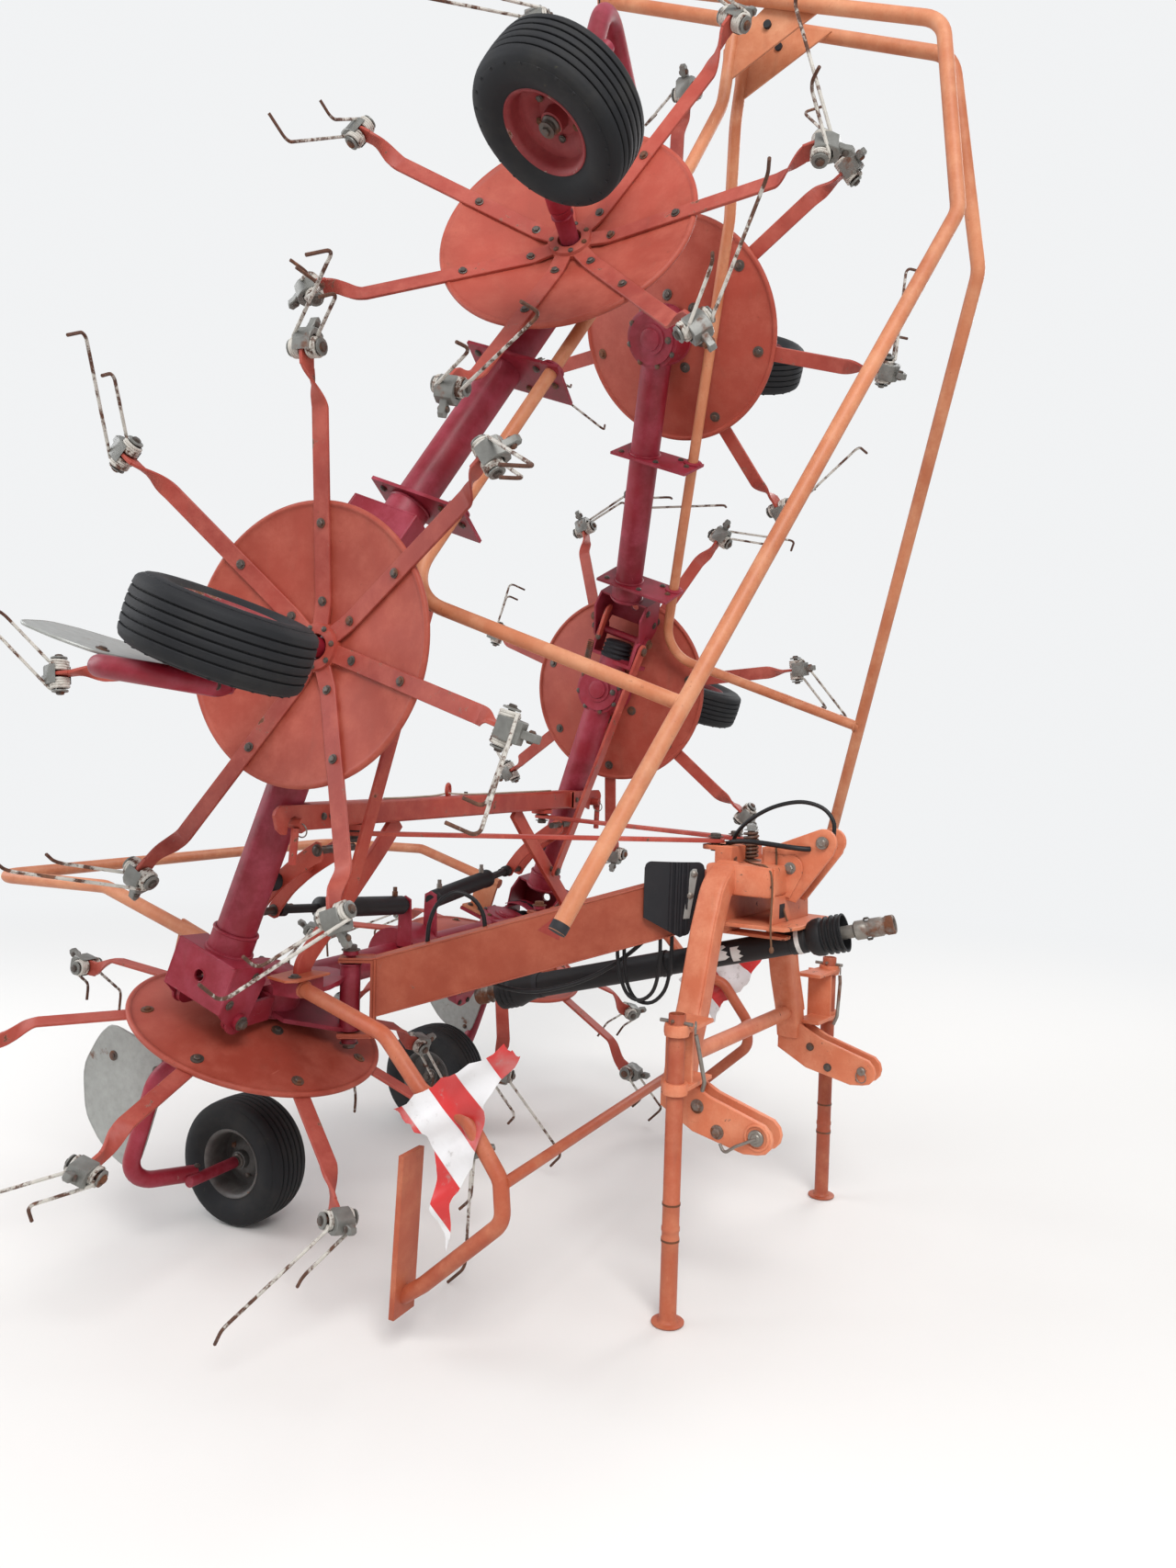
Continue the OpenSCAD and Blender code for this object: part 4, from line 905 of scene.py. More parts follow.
# Rear guard: a bow on two feet that stand on the leaning centre frame
REAR_Y = 0.870
FOOT = [(-0.256, 0.785), (-0.156, 0.785), (-0.156, 0.864), (-0.256, 0.864)]
FOOT_WALL = [(-0.256, 0.106), (-0.156, 0.106), (-0.160, 0.262), (-0.268, 0.262)]
rotor_frame = ROAD.inverted() @ wing_matrix(0, 1)
rear, feet = Shape("guard_orange"), Shape("guard_orange")
for side, m in HALVES:
    half = rounded([(-1.640, REAR_Y, 0.978), (-2.050, REAR_Y, 1.105), (-2.560, REAR_Y, 1.100),
                    (-2.560, -0.001, 1.100)], 0.090)
    rear.tube(at(m, *half), GUARD_R, 24)
    lean = rotor_frame @ m
    feet.prism(FOOT, 0.106, 0.118, lean, 0.0015)
    feet.prism(FOOT_WALL, -0.864, -0.852, lean @ XZ, 0.0015)
    for x in (-0.232, -0.180):
        bolt(feet, lean @ Vector((x, 0.812, 0.118)), lean.to_3x3() @ Z, 0.013)
rear.merge(feet, Matrix())
rear.build("rear_guard_bow", "frame", ROAD, ["rear_guard"])

# Hoods, housings and hinges: beads, bolts and rubber boots
LOCK_HOOK = [(0.0, -0.014), (0.090, -0.016), (0.128, -0.034), (0.140, -0.018), (0.122, 0.006),
             (0.086, 0.016), (0.0, 0.014), (-0.012, 0.0)]
HINGE_BOOT = [(0.0, 0.060), (0.010, 0.062), (0.018, 0.055), (0.028, 0.061), (0.036, 0.054), (0.046, 0.060),
              (0.054, 0.053), (0.064, 0.058), (0.070, 0.048), (0.072, 0.030)]
CENTRE_BOOT = [(0.0, 0.055), (0.012, 0.057), (0.024, 0.050), (0.038, 0.056), (0.050, 0.049), (0.064, 0.055),
               (0.076, 0.048), (0.090, 0.053), (0.102, 0.046), (0.112, 0.044), (0.114, 0.028)]
CLAMP_CAP = [(0.0, 0.0195), (0.0, 0.034), (0.006, 0.034), (0.008, 0.031), (0.008, 0.0195)]
HOUSING_RIM = [(0.180, 0.060), (0.180, 0.0995), (0.1835, 0.0995), (0.1845, 0.097), (0.1845, 0.060)]
HOUSING_CAP = [(0.195, 0.034), (0.1975, 0.038), (0.203, 0.036), (0.206, 0.024), (0.206, 0.0)]
TUBE_CAP = [(0.0, 0.054), (0.003, 0.054), (0.005, 0.050), (0.005, 0.0)]


def housing_details(s, y):
    """Ring of bolts, a cap and a filler plug on a gear housing."""
    s.lathe((0, y, 0), HOUSING_RIM, 56, loop=True)
    for k in range(8):
        a = 2 * math.pi * (k + 0.5) / 8
        bolt(s, (0.0925 * math.cos(a), y + 0.0925 * math.sin(a), 0.1845), Z, 0.010)
    s.lathe((0, y, 0), HOUSING_CAP, 32)
    bolt(s, (0.068, y + 0.010, 0.192), Z, 0.012)
    ring(s, (0, y, 0.0835), Z, 0.1002, 0.003, sides=56)


def hood_details(s, y, tube_r):
    """Collar beads, edge beads, hinge bolts and hole lip of a hood."""
    front = TUBE_Z - 0.088
    edge = front + 0.0035
    ring(s, (0, y + 0.230, TUBE_Z), Y, tube_r + 0.0045, 0.005, sides=40)
    ring(s, (0, y + 0.171, TUBE_Z), Y, tube_r + 0.008, 0.005, sides=40)
    ring(s, (0, y + 0.100, front), Z, 0.0185, 0.0022)
    for x in (-0.1065, 0.1065):
        s.tube([(x, y + 0.030, edge), (x, y + 0.168, edge)], 0.0045, 12)
    s.tube([(-0.107, y + 0.1675, edge), (0.107, y + 0.1675, edge)], 0.0045, 12)
    for q in (-1, 1):
        bolt(s, (q * 0.124, y, TUBE_Z), (q, 0, 0), 0.017, washer=1.25, head=0.9)
        bolt(s, (q * 0.110, y + 0.058, front + 0.028), (q, 0, 0), 0.011, washer=1.3)
        bolt(s, (q * 0.110, y + 0.135, TUBE_Z + 0.010), (q, 0, 0), 0.011, washer=1.3)


def latch(s, y):
    """Lock hook with its spring and link beside the second hinge, and the boot in front of it."""
    s.prism(smooth_outline(LOCK_HOOK, 1), -0.006, 0.006,
            Matrix.Translation((-0.060, y - 0.030, TUBE_Z + 0.078)) @ along(X), 0.0015, "frame_red")
    x = -0.084
    coil_spring(s, (x, y - 0.140, TUBE_Z + 0.070), (x, y - 0.055, TUBE_Z + 0.086), 0.012, 0.0022, 11,
                "spring_rust")
    link = [(x, y - 0.160, TUBE_Z + 0.052), (x, y - 0.150, TUBE_Z + 0.072), (x, y - 0.138, TUBE_Z + 0.070)]
    s.tube(rounded(link, 0.006), 0.003, 8, "bolt_dark")
    bolt(s, (-0.060, y - 0.030, TUBE_Z + 0.084), Z, 0.012)
    s.lathe((0, y - 0.098, TUBE_Z), HINGE_BOOT, 36, Y, "black_rubber")


for label, side in SIDES:
    s = Shape("crimson")
    hood_details(s, HINGE_1, 0.057)
    housing_details(s, ROTOR_Y[1])
    latch(s, HINGE_2)
    s.build("inner_wing_fittings_" + label, "inner_" + label, wing_matrix(1, side))
    s = Shape("crimson")
    hood_details(s, HINGE_2, 0.054)
    housing_details(s, ROTOR_Y[2])
    for y in (HINGE_2 + 0.235, ROTOR_Y[2] - 0.430):
        # Clamp cap and bolts that hold the guard's brace on a flange plate
        s.lathe((BRACE_X, y + 0.010, 0.085), CLAMP_CAP, 28, Y, loop=True)
        for x, z in ((0.130, 0.085), (0.180, 0.135), (-0.075, 0.085), (-0.075, 0.175), (0.075, 0.180)):
            bolt(s, (x, y + 0.010, z), Y, 0.011)
            bolt(s, (x, y, z), -Y, 0.011)
        ring(s, (0, y + 0.012, TUBE_Z), Y, 0.0555, 0.004, sides=40)
    s.lathe((0, ROTOR_Y[2] + 0.020, TUBE_Z), TUBE_CAP, 32, Y)
    s.build("outer_wing_fittings_" + label, "outer_" + label, wing_matrix(2, side))

# Centre frame: housings, boots at the first hinges, column rings, and the folding levers
LEVER = [(-1.272, 1.296), (-1.330, 1.262), (-1.400, 1.212), (-1.468, 1.150), (-1.520, 1.085),
         (-1.536, 1.046), (-1.498, 1.034), (-1.478, 1.068), (-1.432, 1.122), (-1.370, 1.172),
         (-1.306, 1.212), (-1.256, 1.238)]
LEVER_PINS = ((-1.275, 1.265), (-1.506, 1.062))
STOP = [(0, 0.012), (0, 0.027), (0.028, 0.029), (0.034, 0.025), (0.035, 0.0)]


def hinge_fittings():
    """Housing details, boot, perforated cover with black discs as painted shade in its holes, and flange
    bolts of one half of the leaning centre frame.
    """
    s = Shape("crimson")
    housing_details(s, ROTOR_Y[0])
    s.lathe((0, 0.802, TUBE_Z), CENTRE_BOOT, 40, Y, "black_rubber")
    turns = [math.radians(d) for d in range(-38, 39, 4)]
    cover = [Vector((0.120 * math.sin(a), 0.806, TUBE_Z - 0.020 + 0.115 * math.cos(a))) for a in turns]
    s.loft([[p + q for p in cover]
            + [p + q + (Vector((0, p.y, TUBE_Z)) - p).normalized() * 0.004 for p in cover[::-1]]
            for q in (Vector((0, 0, 0)), Vector((0, 0.100, 0)))], smooth=False)
    # The cover's holes: thin black discs on its face, painted shade where the holes are dark inside
    for d in (-26, -9, 9, 26):
        a = math.radians(d)
        c = Vector((0.1203 * math.sin(a), 0.862, TUBE_Z - 0.020 + 0.1153 * math.cos(a)))
        s.lathe(c, [(0, 0.0), (0, 0.011), (0.0006, 0.011), (0.0006, 0.0)], 18, mat="black_rubber",
                matrix=along((math.sin(a), 0, math.cos(a))) @ Matrix.Diagonal((1.0, 1.7, 1, 1)))
    for a in around(6):
        bolt(s, (0.290, 0.052 * math.cos(a), TUBE_Z + 0.052 * math.sin(a)), X, 0.010)
    return s


s, levers = Shape("crimson"), Shape("frame_red")
for side, m in HALVES:
    s.merge(hinge_fittings(), rotor_frame @ m)
    for z, way in ((0.945, 1), (0.660, -1)):
        bolt(s, m @ Vector((*BOOM_PIVOT, z)), (0, 0, way), 0.024, washer=1.2, head=0.7)
    for z in (0.702, 0.902):
        ring(s, m @ Vector((*BOOM_PIVOT, z)), Z, 0.0315, 0.003, sides=36)
    # Two curved levers inside the wing tube, with their cross tube, pins and rubber stop
    for y in (0.800, 0.716):
        levers.prism(smooth_outline(LEVER, 1), -y - 0.005, -y + 0.005, m @ XZ, 0.0015)
        for x, z in LEVER_PINS:
            bolt(levers, m @ Vector((x, y + 0.005, z)), (0, side, 0), 0.014, washer=1.3)
    levers.tube(at(m, (-1.372, 0.716, 1.205), (-1.372, 0.800, 1.205)), 0.016, 20)
    for x, z in LEVER_PINS:
        levers.tube(at(m, (x, 0.640, z), (x, 0.812, z)), 0.012, 16, "bolt_dark")
    levers.lathe(m @ Vector((-1.425, 0.806, 1.165)), STOP, 28, (0, side, 0), "black_rubber")
s.build("centre_frame_fittings", "frame", ROAD)
levers.build("folding_levers", "frame", ROAD)

# Upper frame: rounded beam, bent posts, hooked end plates, lugs and pins
BEAM_Z = 1.330
BEAM_H = 0.072
BEAM_HALF = 0.845
POST_X = 1.300
STRUT_FOOT = (0.680, 0.463)
BEAM_HOOK = [(0.770, 1.330), (0.770, 1.402), (1.005, 1.402), (1.022, 1.390), (1.028, 1.376), (1.016, 1.338),
             (0.992, 1.3215), (0.978, 1.322), (0.973, 1.352), (0.962, 1.366), (0.948, 1.370),
             (0.934, 1.366), (0.922, 1.352), (0.917, 1.322), (0.895, 1.330)]
BEAM_END = [(0.770, 1.334), (0.770, 1.398), (0.843, 1.398), (0.843, 1.334)]
POST = [(0, 0.383, 1.331), (0, 0.475, 1.245), (0, 0.800, 0.965), (0, 0.830, 0.930), (0, 0.830, 0.906)]
s = Shape("frame_red")
middle_z = BEAM_Z + BEAM_H / 2
box_beam(s, (-POST_X, -BEAM_HALF, middle_z), (-POST_X, BEAM_HALF, middle_z), X, BEAM_H, BEAM_H, 0.010)
for side, m in HALVES:
    s.prism(BEAM_HOOK, -POST_X + 0.049, -POST_X + 0.061, m @ YZ, 0.0015)
    s.prism(BEAM_END, -POST_X + 0.035, -POST_X + 0.059, m @ YZ, 0.001)
    s.tube(at(m, (-POST_X + 0.046, 0.948, 1.353), (-POST_X + 0.090, 0.948, 1.353)), 0.0149, 24)
    ring(s, m @ Vector((-POST_X + 0.083, 0.948, 1.334)), (0, 1, 0.2), 0.020, 0.002, "pin_steel")
    s.tube(at(m, (-POST_X + 0.075, 0.962, 1.340), (-POST_X + 0.070, 0.966, 1.240)), 0.011, 16)
    for y in (0.790, 0.825):
        bolt(s, m @ Vector((-POST_X + 0.061, y, 1.366)), X, 0.011)
    # Flat post with round bends, cut level at its foot
    post = rounded(POST, 0.060, 6)
    rows = []
    for i, p in enumerate(post):
        t = (post[min(i + 1, len(post) - 1)] - post[max(i - 1, 0)]).normalized()
        if i == len(post) - 1:
            t = -Z
        rows.append([m @ q for q in box_row(p + Vector((-POST_X, 0, 0)), X, X.cross(t), 0.018, 0.062, 0.003)])
    s.loft(rows)
    eye = m @ Vector((-POST_X, BOOM_PIVOT[1], 0))
    s.lathe(eye, [(1.314, 0.0), (1.314, 0.040), (1.316, 0.042), (1.330, 0.042), (1.330, 0.0)], 36)
    s.lathe(eye, [(1.288, 0.0149), (1.320, 0.0149)], 20, mat="bolt_dark")
    bolt(s, m @ Vector((-POST_X, BOOM_PIVOT[1], 1.288)), -Z, 0.022, washer=1.15, head=0.6)
    ring(s, m @ Vector((-POST_X, 0.830, 0.9075)), Z, 0.024, 0.004)
ring(s, (-POST_X, -0.085, BEAM_Z + BEAM_H + 0.020), (1, 0.3, 0), 0.021, 0.006)
s.tube([(-POST_X, 0.030, 1.400), (-POST_X, 0.030, 1.414)], 0.007, 12, "bolt_dark")
pins = Shape("bolt_dark")
for side, m in HALVES:
    pins.tube(at(m, (0.104, *STRUT_FOOT), (0.172, *STRUT_FOOT)), 0.0099, 20)
    bolt(pins, m @ Vector((0.164, *STRUT_FOOT)), X, 0.017, head=0.5)
s.merge(pins, rotor_frame)
s.build("upper_frame_beam", "frame", ROAD, ["upper_frame"])

# Booms: welds, bolts, a patch of older paint and the bracket's edge strips
BOOM_Z = 0.835
BOOM_RISE = 0.265
BOOM_HALF_H = 0.088
PATCH = [(0.566, 1.016), (0.633, 1.070), (0.636, 0.985)]
for label, side in SIDES:
    m, span = boom_matrix(side)
    s = Shape("boom_brown")
    for y in (-0.0305, 0.0305):
        for k in (-1, 1):
            far_z = BOOM_Z + BOOM_RISE * (span - 0.186) / (span - 0.184) + k * BOOM_HALF_H
            s.tube([(0.074, y, BOOM_Z + k * BOOM_HALF_H), (span - 0.112, y, far_z)], 0.0028, 8)
    for z, way in ((0.688, -1), (0.917, 1)):
        bolt(s, (0, 0, z), (0, 0, way), 0.018, washer=1.4, head=0.7)
    for z in (0.682, 0.923):
        edge = [(-0.030, -0.036, z), (0.074, -0.036, z), (0.074, 0.036, z), (-0.030, 0.036, z)]
        s.tube(rounded(edge, 0.010), 0.003, 8)
    for y in (-0.036, 0.036):
        s.tube([(0.0745, y, 0.684), (0.0745, y, 0.922)], 0.0045, 10)
    if side < 0:
        s.prism(PATCH, 0.0302, 0.0307, XZ, mat="patch_red")
        s.prism(PATCH, -0.0307, -0.0302, XZ, mat="patch_red")
    for z in (1.052, 1.138):
        ring(s, (span, 0, z), Z, 0.0375, 0.003, sides=32)
    for x, z in ((span - 0.045, 1.095), (span - 0.145, 1.085)):
        for way in (-1, 1):
            bolt(s, (x, way * 0.030, z), (0, way, 0), 0.013, washer=1.3)
    bolt(s, (0, 0, 1.308), Z, 0.018, washer=1.4, head=0.7)
    s.build("boom_fittings_" + label, "boom_" + label, m)

# Hose flap on the near boom: a bowed rubber sheet with ribs, and its clamp strip
FLAP_X = 0.893
FLAP_L = 0.187
FLAP_STEPS = 60
FLAP_BEND = 0.022
FLAP_RIBS = (0.973, 0.990, 1.007, 1.024)
STRIP = [(1.014, 1.062), (1.034, 1.064), (1.056, 1.204), (1.052, 1.218), (1.040, 1.218), (1.032, 1.208)]
HOLDER = [(0.905, 1.090), (0.960, 1.090), (0.960, 1.145), (0.905, 1.145)]


def flap_low(x):
    """Height of the flap's lower edge."""
    if x < 1.005:
        return 1.062 - 0.058 * (x - FLAP_X) / 0.112
    if x < 1.035:
        return 1.004 + 0.010 * (x - 1.005) / 0.03
    return 1.014 + 0.150 * (x - 1.035) / 0.045


rows = []
for i in range(FLAP_STEPS + 1):
    x = FLAP_X + FLAP_L * i / FLAP_STEPS
    edge = min(i, FLAP_STEPS - i) / FLAP_STEPS * FLAP_L
    drop = math.sqrt(max(0.0, FLAP_BEND ** 2 - (FLAP_BEND - min(edge, FLAP_BEND)) ** 2))
    low, top = flap_low(x), 1.238 - (FLAP_BEND - drop)
    y = -0.045 - 0.014 * (1 - ((x - 1.0) / 0.110) ** 2)
    rib = 0.0045 if any(abs(x - r) < 0.0045 for r in FLAP_RIBS) else 0.0
    z = [low, low + 0.25 * (top - low), low + 0.5 * (top - low), low + 0.75 * (top - low), top]
    line = [(y + 0.004 * math.sin(19 * x + 14 * q), q) for q in z]
    rows.append([Vector((x, v, q)) for v, q in line]
                + [Vector((x, v - 0.007 - rib, q)) for v, q in line[::-1]])
near_boom = boom_matrix(-1)[0]
s = Shape("black_rubber")
s.loft(rows)
s.prism(STRIP, 0.064, 0.0705, XZ, 0.0006, "shield_grey")
for x, z in ((1.044, 1.202), (1.034, 1.135)):
    bolt(s, (x, -0.0705, z), -Y, 0.010, mat="pin_steel")
s.prism(HOLDER, 0.029, 0.050, XZ, 0.002)
s.build("hose_flap_cover", "boom_right", near_boom, ["hose_flap"])

# Drive shaft: guard tube with ribbed boots, and the yokes at its ends
REAR_END = Vector((-1.110, 0, 0.730))
FRONT_END = Vector((0.068, 0, 1.051))
SPAN = (FRONT_END - REAR_END).length
GUARD = [(0, 0.050), (0, 0.060), (0.010, 0.062), (0.018, 0.056), (0.028, 0.062), (0.037, 0.056),
         (0.047, 0.062), (0.056, 0.056), (0.066, 0.061), (0.080, 0.056), (0.104, 0.048), (0.128, 0.0435),
         (0.136, 0.0405), (0.610, 0.0405), (0.612, 0.043), (0.632, 0.043), (0.634, 0.0385),
         (SPAN - 0.170, 0.0385), (SPAN - 0.168, 0.041), (SPAN - 0.122, 0.041), (SPAN - 0.118, 0.037),
         (SPAN - 0.110, 0.037)]
FRONT_BOOT = [(0.112, 0.042), (0.106, 0.050), (0.092, 0.0565), (0.074, 0.0585), (0.068, 0.057),
              (0.064, 0.051), (0.059, 0.051), (0.055, 0.0575), (0.050, 0.0585), (0.046, 0.051),
              (0.041, 0.051), (0.037, 0.0580), (0.032, 0.059), (0.028, 0.051), (0.023, 0.051),
              (0.019, 0.0585), (0.014, 0.059), (0.010, 0.0525), (0.006, 0.0525), (0.003, 0.059),
              (0, 0.0585), (0, 0.053)]
GUARD_BORE = [(SPAN - 0.060, 0.046), (SPAN - 0.105, 0.030), (0.100, 0.030), (0.060, 0.046)]
# Two blank, torn labels: start along the tube, middle in half turns, lengths of their strips
LABELS = (
    (SPAN - 0.430, 0.95, (0.050, 0.058, 0.041, 0.062, 0.055, 0.066, 0.048)),
    (SPAN - 0.358, 1.05, (0.030, 0.022, 0.034, 0.026, 0.038, 0.020, 0.024)),
)
SHAFT = [(-0.100, 0.018), (-0.100, 0.029), (-0.096, 0.032), (-0.066, 0.032), (-0.060, 0.024),
         (-0.048, 0.024), (-0.044, 0.032), (-0.040, 0.020), (SPAN + 0.030, 0.020), (SPAN + 0.030, 0.025),
         (SPAN + 0.034, 0.029), (SPAN + 0.060, 0.029), (SPAN + 0.066, 0.025), (SPAN + 0.074, 0.025),
         (SPAN + 0.080, 0.029), (SPAN + 0.112, 0.029), (SPAN + 0.116, 0.026), (SPAN + 0.122, 0.026),
         (SPAN + 0.126, 0.029), (SPAN + 0.147, 0.029), (SPAN + 0.150, 0.026), (SPAN + 0.150, 0.0175),
         (SPAN + 0.072, 0.0175)]
SPLINE = [(0.0155, -0.003), (0.0178, -0.003), (0.0178, 0.003), (0.0155, 0.003)]


def band(low, high, inner, outer):
    """Section of a band round a tube."""
    return [(low, inner), (low, outer), (high, outer), (high, inner)]


turned = ROAD @ Matrix.Translation(REAR_END) @ along(FRONT_END - REAR_END)
s = Shape("black_plastic")
s.lathe(ORIGIN, GUARD + [(SPAN - z, r) for z, r in FRONT_BOOT] + GUARD_BORE, 48, loop=True)
s.lathe(ORIGIN, band(SPAN - 0.150, SPAN - 0.136, 0.0408, 0.0422), 40, mat="label_white", loop=True)
for start, middle, lengths in LABELS:
    for turn in (middle * math.pi, (middle + 1.0) * math.pi):
        rows = []
        for k, length in enumerate(lengths):
            a = turn + 0.21 * (k - 3)
            corners = ((0.0382, start), (0.0390, start), (0.0390, start + length), (0.0382, start + length))
            rows.append([Vector((r * math.cos(a), r * math.sin(a), z)) for r, z in corners])
        s.loft(rows, "label_white", False)
s.lathe(ORIGIN, band(0.140, 0.158, 0.0400, 0.0428), 40, mat="black_rubber", loop=True)
s.build("shaft_guard_boots", "shaft_guard", turned, ["shaft_guard"])
s = Shape("pin_steel")
s.lathe(ORIGIN, SHAFT, 40)
for k in range(6):
    s.prism(SPLINE, SPAN + 0.074, SPAN + 0.149, Matrix.Rotation(math.pi * k / 3, 4, "Z"))
for way in (1, -1):
    bolt(s, (0, way * 0.028, SPAN + 0.070), (0, way, 0), 0.010)
s.build("drive_shaft_yokes", "drive_shaft", turned, ["drive_shaft"])

# Headstock: rounded legs, top box, jaw plates, link plates, clamps and the tower of the linkage
LEG_X = Vector((-0.270, 0, 0))
LEG_LINE = [(0, 0.120, 1.214), (0, 0.205, 1.176), (0, 0.262, 1.050), (0, 0.330, 0.830), (0, 0.385, 0.700),
            (0, 0.405, 0.610)]
STAND_X = -0.198
STAND_Y = 0.562
LINK_Z = 0.529
TOP_Z = 1.317
LINK = [(-0.306, 0.642), (-0.225, 0.651), (-0.150, 0.614), (0.022, 0.566), (0.040, 0.548), (0.046, 0.527),
        (0.041, 0.504), (0.026, 0.487), (0.004, 0.480), (-0.040, 0.474), (-0.200, 0.505), (-0.306, 0.560)]
PAD = [(-0.258, 0.400), (-0.168, 0.400), (-0.162, 0.545)] + arc(STAND_X, STAND_Y, 0.036, -10, 190, 20) + [
    (-0.234, 0.545)]
PAD_RING = [(-0.010, 0.0245), (-0.010, 0.034), (0.0, 0.036), (0.012, 0.036), (0.022, 0.034),
            (0.022, 0.0245)]
PAD_WALL = [(-0.256, 0.650), (-0.170, 0.650), (-0.170, 0.824), (-0.256, 0.824)]
CLIP = [(-0.150, 0.540, 0.806), (-0.146, 0.535, 0.780), (-0.140, 0.500, 0.668), (-0.150, 0.492, 0.640)]
JAW = [(-0.200, 1.200), (-0.160, 1.140), (-0.082, 1.128), (0.032, 1.283)] + arc(
    0, TOP_Z, 0.042, -35, 120, 15) + [(-0.060, 1.338), (-0.140, 1.306), (-0.200, 1.290)]
DOUBLER = [(-0.190, 1.160), (-0.100, 1.140), (-0.062, 1.214)] + arc(-0.101, 1.233, 0.041, 0, 120, 15) + [
    (-0.190, 1.285)]
SOCKET = [(-0.140, 1.066), (0.140, 1.066), (0.130, 1.150), (-0.130, 1.150)]
DARK_PLATE = [(-0.090, 1.080), (-0.050, 1.080), (-0.050, 1.124), (-0.090, 1.124)]
SOLE = [(-0.290, -0.190), (-0.060, -0.175), (-0.040, -0.100), (-0.040, 0.100), (-0.060, 0.175),
        (-0.290, 0.190)]
TONGUE = [(-0.100, -0.020), (0.000, -0.020), (0.010, -0.010), (0.010, 0.030), (0.000, 0.040),
          (-0.100, 0.040)]
FLAT = [(-0.290, -0.120), (-0.080, -0.120), (-0.080, -0.050), (-0.290, -0.050)]
LUG = [(1.276, 0.0), (1.276, 0.039), (1.278, 0.040), (1.289, 0.040), (1.290, 0.039), (1.290, 0.0)]
WEB = [(-0.386, -0.072), (-0.316, -0.072), (-0.316, 0.072), (-0.386, 0.072)]
BLOCK = [(-0.328, -0.110), (-0.270, -0.110), (-0.270, 0.110), (-0.328, 0.110)]
SPRING_CUP = [(0, 0.0), (0, 0.034), (0.006, 0.034), (0.008, 0.030), (0.010, 0.012), (0.120, 0.012),
              (0.120, 0.0)]


def headstock_leg(s, side):
    """One leg with its link plates, pin lips, bolts and stand bracket."""
    m = mirrored(side)
    line = rounded(LEG_LINE, 0.130, 5)
    rows = []
    for i, p in enumerate(line):
        t = (line[min(i + 1, len(line) - 1)] - line[max(i - 1, 0)]).normalized()
        rows.append([m @ q for q in box_row(p + LEG_X, X, X.cross(t), 0.080, 0.078, 0.014)])
    s.loft(rows)
    s.tube([m @ (p + LEG_X + X * 0.0395 + 0.030 * X.cross((q - p).normalized()))
            for p, q in zip(line[3:-1], line[4:])], 0.0035, 8)
    # Plates of the lower link, rounded round the pin, with their bolts
    for y in (0.375, 0.437):
        s.prism(LINK, -y - 0.014, -y, m @ XZ, 0.003)
    ring(s, m @ Vector((0, 0.4515, LINK_Z)), Y, 0.034, 0.0045, sides=36)
    boss = [(0, 0.023), (0.004, 0.023), (0.006, 0.020), (0.006, 0.0)]
    s.lathe(m @ Vector((-0.262, 0.451, 0.600)), boss, 28, (0, side, 0))
    for x, z in ((-0.185, 0.580), (-0.120, 0.520)):
        bolt(s, m @ Vector((x, 0.451, z)), (0, side, 0), 0.015, mat="pin_steel", washer=1.35, head=0.8)
        bolt(s, m @ Vector((x, 0.375, z)), (0, -side, 0), 0.014)
    s.tube(at(m, (-0.120, 0.389, 0.548), (-0.120, 0.437, 0.548)), 0.013, 16)
    # Stand bracket: a folded plate with two rings round the stand, and its pin with a clip
    for z in (0.650, 0.812):
        s.prism(PAD, z, z + 0.012, m, 0.0015)
        s.lathe(m @ Vector((STAND_X, STAND_Y, z)), PAD_RING, 32, loop=True)
    s.prism(PAD_WALL, -0.520, -0.510, m @ XZ, 0.0015)
    s.tube(at(m, *rounded(CLIP, 0.02)), 0.006, 12, "pin_steel")
    ring(s, m @ Vector((-0.150, 0.544, 0.826)), (1, 0.4, 0), 0.017, 0.0022, "pin_steel")
    s.tube(at(m, (-0.150, STAND_Y, 0.838), (-0.250, STAND_Y, 0.838)), 0.0055, 12, "pin_steel")


s = Shape("head_orange")
for side in (1, -1):
    headstock_leg(s, side)
# Cross tube between the legs
s.tube([(LEG_X.x, -0.385, 0.690), (LEG_X.x, 0.385, 0.690)], 0.024, 24)
for side in (1, -1):
    ring(s, (LEG_X.x, side * 0.352, 0.690), Y, 0.0245, 0.004)
# Top box with rolled edges, weld beads and the socket below
s.loft([box_row(Vector((-0.220, y, 1.194)), X, Z, 0.220 - i, 0.092 - i, 0.014)
        for y, i in ((-0.165, 0.006), (-0.162, 0.0), (0.162, 0.0), (0.165, 0.006))])
for y in (-0.150, 0.150):
    s.tube([(-0.108, y, 1.152), (-0.1085, y, 1.236)], 0.004, 8)
s.prism(SOCKET, -0.124, -0.114, YZ, 0.001)
s.prism(DARK_PLATE, -0.1139, -0.1134, YZ, mat="black_rubber")
s.prism(SOLE, 1.054, 1.066, bevel=0.002)
s.prism(TONGUE, 1.026, 1.046, bevel=0.003)
s.prism(FLAT, 1.020, 1.030, bevel=0.001)
